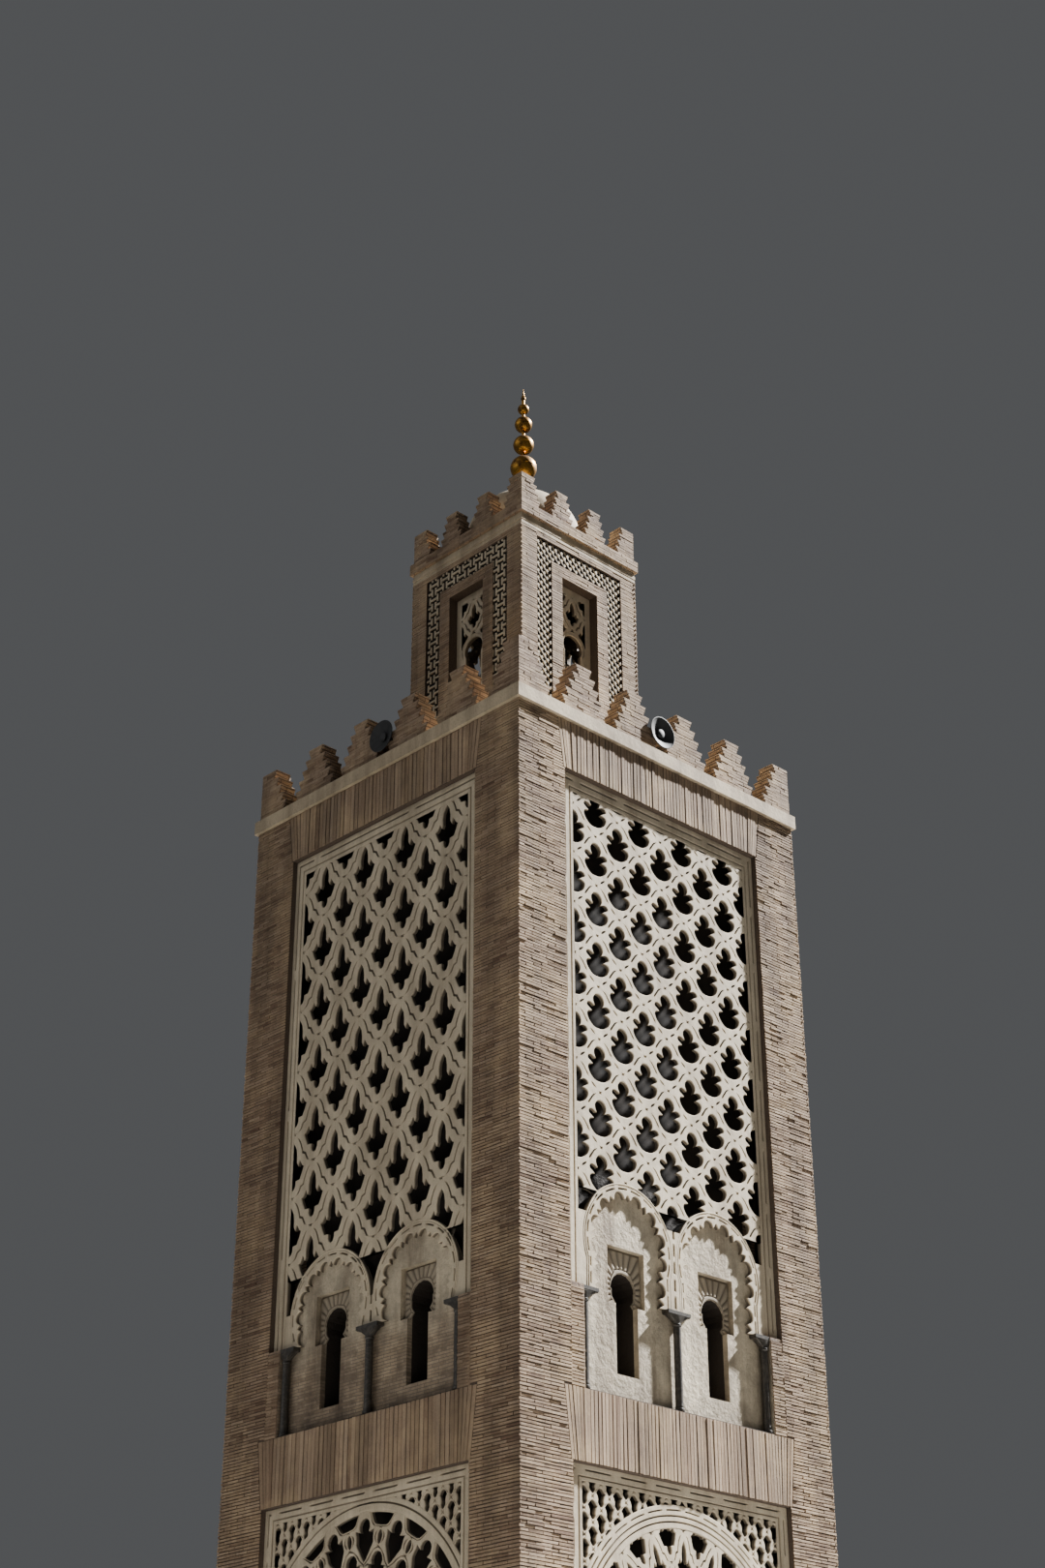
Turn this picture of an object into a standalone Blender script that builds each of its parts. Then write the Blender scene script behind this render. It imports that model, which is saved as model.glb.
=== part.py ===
"""Square brick minaret with pierced plaster screens, a domed lantern and a ball finial.

Each face is described in its own frame: u runs along the face, d goes into the wall from the
face of the corner piers, z is the height above the ground. The front face looks to -Y, and the
other three are the same kinds of pieces turned about the vertical axis.
"""
from math import acos, asin, cos, degrees, pi, radians, sin

import bmesh
import bpy
from mathutils import Vector

# Driving dimensions in metres
GAP = 0.0003                  # clearance between touching pieces
PAST = 0.01                   # how far a cutter runs past the face it cuts
SHAFT_HALF = 2.225            # half the width of the square shaft
PANEL_HALF = 1.55             # half the width of the recess between two corner piers
WALL = 0.60                   # thickness of the brick walls
SCREEN_FRONT = 0.06           # the pierced screens stand this far behind the piers
SCREEN_THICK = 0.045
NICHE_DEPTH = 0.30            # depth of the dark space behind a screen
LOWER_PANEL = (3.00, 6.505)   # foot and top of the panel with the wheel
BAND_TOP = 7.20               # top of the band of upright bricks, foot of the window zone
WINDOW_WALL_TOP = 9.50
UPPER_PANEL_TOP = 13.83
SHAFT_TOP = 14.43

# The window zone of the front and back sits lower than that of the right and left
ZONES = (
    {"ledge": 8.10, "alfiz": (8.07, 8.59), "window_centre": 8.262, "sill": 7.41,
     "arch_centre": 8.385},
    {"ledge": 8.20, "alfiz": (8.147, 8.716), "window_centre": 8.307, "sill": 7.45,
     "arch_centre": 8.735},
)
WINDOW_WALL_FRONT = 0.107     # plastered wall with the windows, behind the arches
JAMB_HALF = 1.366             # half the width of the window zone between its brick jambs
WINDOW_U = 0.663              # distance of each window from the middle of the face
WINDOW_HALF = 0.155
WINDOW_RADIUS = 0.170
ALFIZ_HALF = 0.262            # half the width of the square recess round a window head
ALFIZ_DEPTH = 0.062
ARCH_RADIUS = 0.53            # opening of a lobed arch of the upper screen
ARCH_FOOT_HALF = 0.49
TYMPANUM_RADIUS = 0.60        # masonry behind a lobed arch
TYMPANUM_SPRING = -30         # degrees where that masonry starts

COLUMN_U = (-1.315, 0.0, 1.315)
COLUMN_D = 0.053
COLUMN_RADIUS = 0.042
COLUMN_SIDES = 10
COLUMN_PLINTH = 0.010
CAPITAL_HEIGHT = 0.13
CAPITAL_NECK = 0.038
CAPITAL_HALF = 0.163
CAPITAL_REACH = 0.048
ABACUS = 0.035

# Openings of the upper screens: height of the first row, step and number of rows, half sizes
UPPER_HOLES = (
    {"first": 13.343, "step": 0.3616, "rows": 12, "half": 0.17, "up": 0.27, "down": 0.25},
    {"first": 13.527, "step": 0.293, "rows": 15, "half": 0.165, "up": 0.21, "down": 0.19},
)
HOLE_PITCH = 0.685
HOLE_SHOULDER = 0.04          # the widest part of an opening lies this far under its middle

# Rings of openings of the wheel: radius, half height, half width, first angle and count
WHEEL_RINGS = ((1.335, 0.12, 0.15, 10, 18), (1.06, 0.15, 0.12, 0, 18), (0.70, 0.17, 0.12, 20, 9))
WHEEL_LIMIT = 1.36            # openings beyond this distance from the middle line are left out
CORNER_HOLES = ((1.25, 1.53), (1.25, 1.25), (0.97, 1.53))
CORNER_HOLE_HALF = 0.085

SLAB_OVERHANG = 0.047
TERRACE = 14.593              # top of the cornice slab, the floor of the terrace
FLOOR = (6.80, 7.00)          # underside and top of the floor of the window storey

LANTERN_HALF = 0.98
LANTERN_WALL = 0.23
LANTERN_TOP = 18.09
LANTERN_OVERHANG = 0.035
LANTERN_ROOF = 18.246
LANTERN_WINDOW_HALF = 0.30
LANTERN_WINDOW = (15.45, 17.44)
LANTERN_SCREEN = (0.13, 0.18)
LANTERN_ARCH_SILL = 15.60
LANTERN_ARCH_HALF = 0.135
LANTERN_ARCH_CENTRE = 16.63
LANTERN_ARCH_RADIUS = 0.158
INLAY_OUTER = 0.725           # interlaced border round a lantern window
INLAY_INNER = 0.476
INLAY_OUTER_TOP = 17.86
INLAY_INNER_TOP = 17.596
INLAY_FOOT = 15.30
INLAY_DEPTH = 0.025

DOME_RADIUS = 0.74
DOME_SPRING = 18.516
DOME_SHELL = 0.08
DOME_CROWN = 0.09             # radius of the flat on which the finial stands
DOME_SIDES = 20
FINIAL_BALLS = ((19.74, 0.170), (20.11, 0.133), (20.44, 0.113), (20.69, 0.074), (20.865, 0.032))
FINIAL_TIP = 21.03
FINIAL_ROD = 0.022
FINIAL_FLANGE = 0.08
FINIAL_SIDES = 14

DOOR_HALF = 0.43
DOOR_CENTRE = 1.62
DOOR_RADIUS = 0.46

HORN_HEIGHT = 0.26            # axis of a horn loudspeaker over the terrace
HORN_SIDES = 16
# Radius and depth of the horn from the back of its driver to the plug in its mouth
HORN_PROFILE = ((0.0, 0.28), (0.05, 0.28), (0.07, 0.265), (0.07, 0.11), (0.045, 0.09),
                (0.05, 0.05), (0.10, 0.012), (0.15, -0.014), (0.195, -0.036), (0.195, -0.046),
                (0.185, -0.046), (0.14, -0.024), (0.09, 0.000), (0.045, 0.014), (0.055, -0.015),
                (0.0, -0.030))
HORN_BRACKET = (0.03, 0.12, 0.16, 0.20)

# Merlons: base strip, courses with an undercut edge, corner merlons of L shape
MERLON = {"strip": 0.035, "level": 0.118, "levels": 5, "half": 0.130, "grow": 0.054,
          "undercut": 0.047, "thick": 0.21, "corner": 0.262, "centres": (-1.232, -0.413,
                                                                         0.413, 1.232)}
LANTERN_MERLON = {"strip": 0.020, "level": 0.105, "levels": 4, "half": 0.105, "grow": 0.029,
                  "undercut": 0.040, "thick": 0.185, "corner": 0.232, "centres": (-0.289, 0.289)}

FACES = ("front", "right", "back", "left")


def material(name, colour, roughness, metallic=0.0):
    """One Principled material for a kind of sub-part."""
    mat = bpy.data.materials.get(name) or bpy.data.materials.new(name)
    mat.use_nodes = True
    shader = mat.node_tree.nodes["Principled BSDF"]
    shader.inputs["Base Color"].default_value = (*colour, 1.0)
    shader.inputs["Roughness"].default_value = roughness
    shader.inputs["Metallic"].default_value = metallic
    return mat


def brick():
    return material("brick", (0.47, 0.33, 0.22), 0.9)


def plaster():
    return material("plaster", (0.72, 0.66, 0.56), 0.85)


def marble():
    return material("marble", (0.60, 0.57, 0.52), 0.4)


def gilt_metal():
    return material("gilt_metal", (0.55, 0.40, 0.16), 0.35, 1.0)


def painted_metal():
    return material("painted_metal", (0.35, 0.35, 0.34), 0.5)


def add_object(name, bm, mat, face=0):
    """Turn a bmesh into a named object, turned to its face of the tower."""
    bmesh.ops.recalc_face_normals(bm, faces=bm.faces)
    mesh = bpy.data.meshes.new(name)
    bm.to_mesh(mesh)
    bm.free()
    mesh.materials.append(mat)
    obj = bpy.data.objects.new(name, mesh)
    obj.rotation_euler.z = face * pi / 2
    bpy.context.scene.collection.objects.link(obj)
    return obj


def combine(obj, tool_bm, operation="DIFFERENCE"):
    """Cut a closed shape of the same frame out of the object, or join it on."""
    tool = add_object(obj.name + "_tool", tool_bm, obj.data.materials[0])
    tool.rotation_euler = obj.rotation_euler
    tool.hide_render = True
    tool.display_type = "WIRE"
    modifier = obj.modifiers.new(operation.lower(), "BOOLEAN")
    modifier.operation = operation
    modifier.solver = "EXACT"
    modifier.object = tool


def prism(bm, outline, low, high, place):
    """Closed prism over a flat outline; place maps (p, q, height) to a point."""
    bottom = [bm.verts.new(place(p, q, low)) for p, q in outline]
    top = [bm.verts.new(place(p, q, high)) for p, q in outline]
    bm.faces.new(bottom)
    bm.faces.new(top)
    for i, start in enumerate(bottom):
        j = (i + 1) % len(bottom)
        bm.faces.new((start, bottom[j], top[j], top[i]))


def on_face(half=SHAFT_HALF):
    """Points (u, z, d) of a face that lies at this distance from the axis."""
    return lambda u, z, d: Vector((u, d - half, z))


def across_face(half=SHAFT_HALF):
    """Points of a section (d, z) through the wall, swept along u."""
    return lambda d, z, u: Vector((u, d - half, z))


def in_plan(x, y, z):
    """Points of a plan (x, y), raised along z."""
    return Vector((x, y, z))


def box(bm, u, z, d, half=SHAFT_HALF):
    """Box in a face frame from pairs of limits."""
    outline = [(u[0], z[0]), (u[1], z[0]), (u[1], z[1]), (u[0], z[1])]
    prism(bm, outline, d[0], d[1], on_face(half))


def arc(centre_u, centre_z, radius, start, end, steps):
    """Points on an arc between two angles in degrees."""
    angles = [radians(start + (end - start) * i / steps) for i in range(steps + 1)]
    return [(centre_u + radius * cos(a), centre_z + radius * sin(a)) for a in angles]


def horseshoe(centre_u, foot_z, foot_half, centre_z, radius, steps):
    """Outline of a horseshoe arch on straight jambs."""
    below = degrees(acos(foot_half / radius))
    head = arc(centre_u, centre_z, radius, -below, 180 + below, steps)
    return [(centre_u + foot_half, foot_z)] + head + [(centre_u - foot_half, foot_z)]


def kite(u, z, half, up, down, shoulder=0.0):
    """Four corners of an upright kite."""
    return [(u, z + up), (u - half, z - shoulder), (u, z - down), (u + half, z - shoulder)]


def turned(bm, profile, sides, place):
    """Solid of revolution from (radius, t) points; place maps (x, y, t) to a point."""
    rings = []
    for radius, t in profile:
        count = sides if radius > 0 else 1
        angles = [2 * pi * (i + 0.5) / sides for i in range(count)]
        rings.append([bm.verts.new(place(radius * cos(a), radius * sin(a), t)) for a in angles])
    for low, high in zip(rings, rings[1:]):
        if len(low) == len(high) == 1:
            continue
        for i in range(sides):
            j = (i + 1) % sides
            corners = (low[i % len(low)], low[j % len(low)],
                       high[j % len(high)], high[i % len(high)])
            bm.faces.new(list(dict.fromkeys(corners)))
    for ring in (rings[0], rings[-1]):
        if len(ring) > 1:
            bm.faces.new(ring)


def shade_turned(obj):
    """Smooth shading with the profile's own edges kept sharp."""
    obj.data.shade_smooth()
    obj.data.set_sharp_from_angle(angle=radians(40))


def corner_pier(face):
    """Solid brick pier at one corner of the shaft."""
    bm = bmesh.new()
    box(bm, (PANEL_HALF, SHAFT_HALF), (0.0, SHAFT_TOP - GAP), (0.0, SHAFT_HALF - PANEL_HALF))
    add_object(f"{FACES[face]}_{FACES[(face + 1) % 4]}_pier", bm, brick(), face)


def lower_wall(face):
    """Brick wall under the windows, with the niche behind the wheel screen."""
    low, high = LOWER_PANEL
    section = [(0, 0), (WALL, 0), (WALL, BAND_TOP - GAP), (0, BAND_TOP - GAP),
               (0, high), (NICHE_DEPTH, high), (NICHE_DEPTH, low), (0, low)]
    reach = PANEL_HALF - GAP
    bm = bmesh.new()
    prism(bm, section, -reach, reach, across_face())
    wall = add_object(f"{FACES[face]}_lower_wall", bm, brick(), face)
    if FACES[face] == "back":
        door = bmesh.new()
        outline = horseshoe(0.0, -PAST, DOOR_HALF, DOOR_CENTRE, DOOR_RADIUS, 12)
        prism(door, outline, -PAST, WALL + PAST, on_face())
        combine(wall, door)


def window_wall(face):
    """Plastered wall with two windows between brick jambs; its head follows the arches."""
    zone = ZONES[face % 2]
    reach = PANEL_HALF - GAP
    ledge = zone["ledge"] - GAP
    bm = bmesh.new()
    box(bm, (-reach, reach), (BAND_TOP, WINDOW_WALL_TOP - GAP), (NICHE_DEPTH, WALL))
    wall = add_object(f"{FACES[face]}_window_wall", bm, plaster(), face)

    outline = [(reach, BAND_TOP), (reach, ledge)]
    for u in (WINDOW_U, -WINDOW_U):
        outline += arc(u, zone["arch_centre"], TYMPANUM_RADIUS, TYMPANUM_SPRING,
                       180 - TYMPANUM_SPRING, 14)
    outline += [(-reach, ledge), (-reach, BAND_TOP)]
    slab = bmesh.new()
    prism(slab, outline, WINDOW_WALL_FRONT, NICHE_DEPTH + PAST, on_face())
    combine(wall, slab, "UNION")

    jambs = bmesh.new()
    for limits in ((-reach, -JAMB_HALF), (JAMB_HALF, reach)):
        box(jambs, limits, (BAND_TOP, ledge), (0.0, WINDOW_WALL_FRONT + PAST))
    combine(wall, jambs, "UNION")

    recesses = bmesh.new()
    openings = bmesh.new()
    for u in (-WINDOW_U, WINDOW_U):
        box(recesses, (u - ALFIZ_HALF, u + ALFIZ_HALF), zone["alfiz"],
            (WINDOW_WALL_FRONT - PAST, WINDOW_WALL_FRONT + ALFIZ_DEPTH))
        outline = horseshoe(u, zone["sill"], WINDOW_HALF, zone["window_centre"], WINDOW_RADIUS, 10)
        prism(openings, outline, WINDOW_WALL_FRONT - PAST, WALL + PAST, on_face())
    combine(wall, recesses)
    combine(wall, openings)


def upper_wall(face):
    """Brick wall behind the upper screen, with the band of upright bricks over it."""
    section = [(NICHE_DEPTH, WINDOW_WALL_TOP), (WALL, WINDOW_WALL_TOP), (WALL, SHAFT_TOP - GAP),
               (0, SHAFT_TOP - GAP), (0, UPPER_PANEL_TOP), (NICHE_DEPTH, UPPER_PANEL_TOP)]
    reach = PANEL_HALF - GAP
    bm = bmesh.new()
    prism(bm, section, -reach, reach, across_face())
    add_object(f"{FACES[face]}_upper_wall", bm, brick(), face)


def upper_screen(face):
    """Pierced plaster screen standing on two lobed arches."""
    zone = ZONES[face % 2]
    holes = UPPER_HOLES[face % 2]
    reach = PANEL_HALF - GAP
    bm = bmesh.new()
    box(bm, (-reach, reach), (zone["ledge"], UPPER_PANEL_TOP - GAP),
        (SCREEN_FRONT, SCREEN_FRONT + SCREEN_THICK))
    screen = add_object(f"{FACES[face]}_upper_screen", bm, plaster(), face)

    cutters = bmesh.new()
    for row in range(holes["rows"]):
        z = holes["first"] - row * holes["step"]
        count = 4 + row % 2
        for i in range(count):
            u = (i - (count - 1) / 2) * HOLE_PITCH
            outline = kite(u, z, holes["half"], holes["up"], holes["down"], HOLE_SHOULDER)
            if count == 5 and i == 0:
                outline.pop(1)
            if count == 5 and i == 4:
                outline.pop(3)
            prism(cutters, outline, SCREEN_FRONT - PAST, SCREEN_FRONT + SCREEN_THICK + PAST,
                  on_face())
    for u in (-WINDOW_U, WINDOW_U):
        outline = horseshoe(u, zone["ledge"] - PAST, ARCH_FOOT_HALF, zone["arch_centre"],
                            ARCH_RADIUS, 14)
        prism(cutters, outline, SCREEN_FRONT - PAST, SCREEN_FRONT + SCREEN_THICK + PAST,
              on_face())
    combine(screen, cutters)


def wheel_outlines():
    """Openings of the wheel and of the corners of its panel, about the middle of the panel."""
    outlines = []
    for radius, up, half, first, count in WHEEL_RINGS:
        for i in range(count):
            a = radians(first + i * 360 / count)
            outline = [(p * cos(a) + q * sin(a), q * cos(a) - p * sin(a))
                       for p, q in kite(0, radius, half, up, up)]
            if max(abs(p) for p, _ in outline) < WHEEL_LIMIT:
                outlines.append(outline)
    for u, z in CORNER_HOLES:
        for side, end in ((1, 1), (1, -1), (-1, 1), (-1, -1)):
            outlines.append(kite(side * u, end * z, CORNER_HOLE_HALF, CORNER_HOLE_HALF,
                                 CORNER_HOLE_HALF))
    return outlines


def lower_screen(face):
    """Pierced plaster panel with a great wheel of eighteen rays."""
    low, high = LOWER_PANEL
    reach = PANEL_HALF - GAP
    middle = (low + high) / 2
    bm = bmesh.new()
    box(bm, (-reach, reach), (low + GAP, high - GAP), (SCREEN_FRONT, SCREEN_FRONT + SCREEN_THICK))
    screen = add_object(f"{FACES[face]}_lower_screen", bm, plaster(), face)
    cutters = bmesh.new()
    for outline in wheel_outlines():
        raised = [(p, q + middle) for p, q in outline]
        prism(cutters, raised, SCREEN_FRONT - PAST, SCREEN_FRONT + SCREEN_THICK + PAST, on_face())
    combine(screen, cutters)


def window_columns(face):
    """Three slim columns under the feet of the arches, on one low plinth."""
    top = ZONES[face % 2]["ledge"] - GAP
    reach = JAMB_HALF - GAP
    back = COLUMN_D + CAPITAL_REACH
    neck_z = top - CAPITAL_HEIGHT
    bm = bmesh.new()
    box(bm, (-reach, reach), (BAND_TOP, BAND_TOP + COLUMN_PLINTH), (0.02, back))
    columns = add_object(f"{FACES[face]}_window_columns", bm, marble(), face)
    parts = bmesh.new()
    for u in COLUMN_U:
        profile = ((COLUMN_RADIUS, BAND_TOP + COLUMN_PLINTH / 2),
                   (COLUMN_RADIUS, neck_z + COLUMN_PLINTH))
        turned(parts, profile, COLUMN_SIDES,
               lambda x, y, t, u=u: Vector((u + x, COLUMN_D + y - SHAFT_HALF, t)))
    combine(columns, parts, "UNION")
    capitals = bmesh.new()
    for u in COLUMN_U:
        left = max(u - CAPITAL_HALF, -reach)
        right = min(u + CAPITAL_HALF, reach)
        outline = [(u - CAPITAL_NECK, neck_z), (u + CAPITAL_NECK, neck_z), (right, top - ABACUS),
                   (right, top), (left, top), (left, top - ABACUS)]
        prism(capitals, outline, COLUMN_D - CAPITAL_REACH, back, on_face())
    combine(columns, capitals, "UNION")


def terrace_slab():
    """Slab on the shaft; its plain edge is the cornice."""
    half = SHAFT_HALF + SLAB_OVERHANG
    bm = bmesh.new()
    box(bm, (-half, half), (SHAFT_TOP, TERRACE), (0.0, 2 * half), half)
    add_object("terrace_slab", bm, plaster())


def upper_floor():
    """Floor of the storey with the windows, between the walls and round the piers."""
    near = PANEL_HALF - GAP
    far = SHAFT_HALF - WALL - GAP
    quarter = [(far, near), (near, near), (near, far)]
    outline = quarter + [(-p, q) for p, q in reversed(quarter)]
    outline += [(-p, -q) for p, q in quarter] + [(p, -q) for p, q in reversed(quarter)]
    bm = bmesh.new()
    prism(bm, outline, FLOOR[0], FLOOR[1], in_plan)
    add_object("upper_floor", bm, plaster())


def merlon_edge(style, centre, base, side):
    """Saw-tooth edge of a merlon from its foot to its top, on one side of its centre."""
    points = []
    for course in range(style["levels"]):
        tip = style["half"] + (style["levels"] - 1 - course) * style["grow"]
        low = base + course * style["level"]
        points.append((centre + side * (tip - style["undercut"]), low))
        points.append((centre + side * tip, low + style["level"]))
    return points


def parapet(face, prefix, style, half, floor):
    """One side of a parapet; front and back take the corners, the others end on them."""
    reach = half if face % 2 == 0 else half - style["thick"] - GAP
    corner = half - style["corner"] + style["half"]
    base = floor + style["strip"]
    top = base + style["levels"] * style["level"]
    outline = [(reach, floor), (reach, top)]
    outline += reversed(merlon_edge(style, corner, base, -1))
    for centre in reversed(style["centres"]):
        outline += merlon_edge(style, centre, base, 1)
        outline += reversed(merlon_edge(style, centre, base, -1))
    outline += merlon_edge(style, -corner, base, 1)
    outline += [(-reach, top), (-reach, floor)]
    bm = bmesh.new()
    prism(bm, outline, 0.0, style["thick"], on_face(half))
    add_object(f"{prefix}{FACES[face]}_parapet", bm, brick(), face)


def lantern_wall(face):
    """Wall of the lantern with its window and the channel of the interlaced border."""
    bm = bmesh.new()
    box(bm, (-LANTERN_HALF, LANTERN_HALF - LANTERN_WALL - GAP), (TERRACE + GAP, LANTERN_TOP),
        (0.0, LANTERN_WALL), LANTERN_HALF)
    wall = add_object(f"lantern_{FACES[face]}_wall", bm, brick(), face)
    opening = bmesh.new()
    box(opening, (-LANTERN_WINDOW_HALF, LANTERN_WINDOW_HALF), LANTERN_WINDOW,
        (-PAST, LANTERN_WALL + PAST), LANTERN_HALF)
    combine(wall, opening)
    channel = bmesh.new()
    outline = [(INLAY_OUTER, INLAY_FOOT), (INLAY_OUTER, INLAY_OUTER_TOP),
               (-INLAY_OUTER, INLAY_OUTER_TOP), (-INLAY_OUTER, INLAY_FOOT),
               (-INLAY_INNER, INLAY_FOOT), (-INLAY_INNER, INLAY_INNER_TOP),
               (INLAY_INNER, INLAY_INNER_TOP), (INLAY_INNER, INLAY_FOOT)]
    prism(channel, outline, -PAST, INLAY_DEPTH, on_face(LANTERN_HALF))
    combine(wall, channel)


def lantern_screen(face):
    """Pierced plaster screen of a lantern window over a horseshoe opening."""
    reach = LANTERN_WINDOW_HALF - GAP
    low, high = LANTERN_WINDOW
    bm = bmesh.new()
    box(bm, (-reach, reach), (low + GAP, high - GAP), LANTERN_SCREEN, LANTERN_HALF)
    screen = add_object(f"lantern_{FACES[face]}_screen", bm, plaster(), face)
    outlines = [horseshoe(0.0, LANTERN_ARCH_SILL, LANTERN_ARCH_HALF, LANTERN_ARCH_CENTRE,
                          LANTERN_ARCH_RADIUS, 12),
                kite(0.0, 17.12, 0.10, 0.20, 0.20)]
    for u in (-0.19, 0.19):
        outlines.append(kite(u, 17.30, 0.06, 0.09, 0.12))
        outlines.append(kite(u, 16.93, 0.06, 0.12, 0.09))
    cutters = bmesh.new()
    for outline in outlines:
        prism(cutters, outline, LANTERN_SCREEN[0] - PAST, LANTERN_SCREEN[1] + PAST,
              on_face(LANTERN_HALF))
    combine(screen, cutters)


def lantern_roof():
    """Projecting slab round the foot of the dome; it carries the merlons of the lantern."""
    half = LANTERN_HALF + LANTERN_OVERHANG
    bm = bmesh.new()
    box(bm, (-half, half), (LANTERN_TOP + GAP, LANTERN_ROOF - GAP), (0.0, 2 * half), half)
    roof = add_object("lantern_roof", bm, brick())
    eye = bmesh.new()
    turned(eye, ((DOME_RADIUS - DOME_SHELL, LANTERN_TOP - PAST),
                 (DOME_RADIUS - DOME_SHELL, LANTERN_ROOF + PAST)), DOME_SIDES, in_plan)
    combine(roof, eye)


def dome():
    """Plastered hemispherical shell on a low drum, open underneath."""
    inner = DOME_RADIUS - DOME_SHELL
    crown = asin(DOME_CROWN / DOME_RADIUS)
    profile = [(inner, DOME_SPRING), (inner, LANTERN_ROOF), (DOME_RADIUS, LANTERN_ROOF)]
    steps = 8
    for i in range(steps + 1):
        a = (pi / 2 - crown) * i / steps
        profile.append((DOME_RADIUS * cos(a), DOME_SPRING + DOME_RADIUS * sin(a)))
    profile.append((0.0, profile[-1][1]))
    bm = bmesh.new()
    turned(bm, [(0.0, LANTERN_ROOF)] + profile[2:], DOME_SIDES, in_plan)
    shell = add_object("dome", bm, plaster())
    hollow = [(0.0, LANTERN_ROOF - PAST), (inner, LANTERN_ROOF - PAST), (inner, DOME_SPRING)]
    hollow += [(inner * cos(pi / 2 * i / 4), DOME_SPRING + inner * sin(pi / 2 * i / 4))
               for i in range(1, 4)]
    hollow.append((0.0, DOME_SPRING + inner))
    space = bmesh.new()
    turned(space, hollow, DOME_SIDES, in_plan)
    combine(shell, space)
    shade_turned(shell)


def finial():
    """Rod with five balls that grow smaller upwards."""
    crown = asin(DOME_CROWN / DOME_RADIUS)
    foot = DOME_SPRING + DOME_RADIUS * cos(crown) + GAP
    profile = [(0.0, foot), (FINIAL_FLANGE, foot), (FINIAL_FLANGE, foot + 0.02),
               (FINIAL_ROD * 1.5, foot + 0.05)]
    steps = 5
    for z, radius in FINIAL_BALLS:
        join = asin(FINIAL_ROD / radius)
        for i in range(steps + 1):
            a = -pi / 2 + join + (pi - 2 * join) * i / steps
            profile.append((radius * cos(a), z + radius * sin(a)))
    profile.append((FINIAL_ROD * 0.6, FINIAL_BALLS[-1][0] + 0.07))
    profile.append((0.0, FINIAL_TIP))
    bm = bmesh.new()
    turned(bm, profile, FINIAL_SIDES, in_plan)
    shade_turned(add_object("finial", bm, gilt_metal()))


def loudspeaker(face):
    """Horn loudspeaker in the gap between the two middle merlons of a side."""
    axis = TERRACE + HORN_HEIGHT
    bm = bmesh.new()
    turned(bm, HORN_PROFILE, HORN_SIDES, lambda x, y, t: Vector((x, t - SHAFT_HALF, axis + y)))
    horn = add_object(f"{FACES[face]}_loudspeaker", bm, painted_metal(), face)
    half, near, far, top = HORN_BRACKET
    bracket = bmesh.new()
    box(bracket, (-half, half), (TERRACE + MERLON["strip"] + 2 * GAP, TERRACE + top), (near, far))
    combine(horn, bracket, "UNION")
    shade_turned(horn)


def build():
    """Remove what the scene holds and build every piece."""
    for obj in list(bpy.data.objects):
        bpy.data.objects.remove(obj, do_unlink=True)
    for face in range(4):
        corner_pier(face)
        lower_wall(face)
        lower_screen(face)
        window_wall(face)
        window_columns(face)
        upper_screen(face)
        upper_wall(face)
        parapet(face, "", MERLON, SHAFT_HALF, TERRACE + GAP)
        lantern_wall(face)
        lantern_screen(face)
        parapet(face, "lantern_", LANTERN_MERLON, LANTERN_HALF, LANTERN_ROOF)
    terrace_slab()
    upper_floor()
    lantern_roof()
    dome()
    finial()
    loudspeaker(0)
    loudspeaker(1)


build()
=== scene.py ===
"""Dresses the brick minaret with its carved plaster screens, brick courses and finishes.

Each face is described in its own frame, as in the CAD: u runs along the face, d goes into the
wall from the face of the corner piers, and z is the height. Faces 0 to 3 are front (-Y),
right (+X), back (+Y) and left (-X).
"""
from math import pi, radians

import bmesh
import bpy
import numpy as np
from bpy.props import FloatProperty, PointerProperty, StringProperty
from mathutils import Matrix, Vector


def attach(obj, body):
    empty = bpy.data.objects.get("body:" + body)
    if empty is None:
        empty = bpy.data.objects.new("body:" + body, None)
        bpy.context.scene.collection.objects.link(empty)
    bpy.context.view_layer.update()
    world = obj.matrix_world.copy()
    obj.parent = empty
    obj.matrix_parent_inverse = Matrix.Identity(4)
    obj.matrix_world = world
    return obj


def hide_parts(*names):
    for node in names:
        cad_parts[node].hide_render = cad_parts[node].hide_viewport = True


bl_info = {
    "name": "Brick minaret",
    "version": (1, 0, 0),
    "blender": (4, 5, 0),
    "location": "View3D > Sidebar > Minaret",
    "description": "Carved screens, brick courses and finishes for a square minaret",
    "category": "Object",
}

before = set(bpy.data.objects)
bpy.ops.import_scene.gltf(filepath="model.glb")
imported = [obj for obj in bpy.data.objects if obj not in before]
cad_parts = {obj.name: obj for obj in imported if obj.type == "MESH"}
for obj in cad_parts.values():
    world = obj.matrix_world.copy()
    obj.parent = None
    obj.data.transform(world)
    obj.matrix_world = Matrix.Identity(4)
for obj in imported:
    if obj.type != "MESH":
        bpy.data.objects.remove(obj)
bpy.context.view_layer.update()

FACES = ("front", "right", "back", "left")

# Sizes that the CAD model gives, in metres
SHAFT_HALF = 2.225
PANEL_HALF = 1.55      # half width of the sunk panels, and of the screens that fill them
PANEL_REACH = 1.5497
SCREEN = (0.06, 0.105)          # depths of the screens' front and back
LOWER_PANEL = (3.0003, 6.5047)
BAND_TOP = 7.20        # foot of the window wall
UPPER_TOP = 13.8297
SHAFT_TOP = 14.43
TERRACE = 14.593
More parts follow.
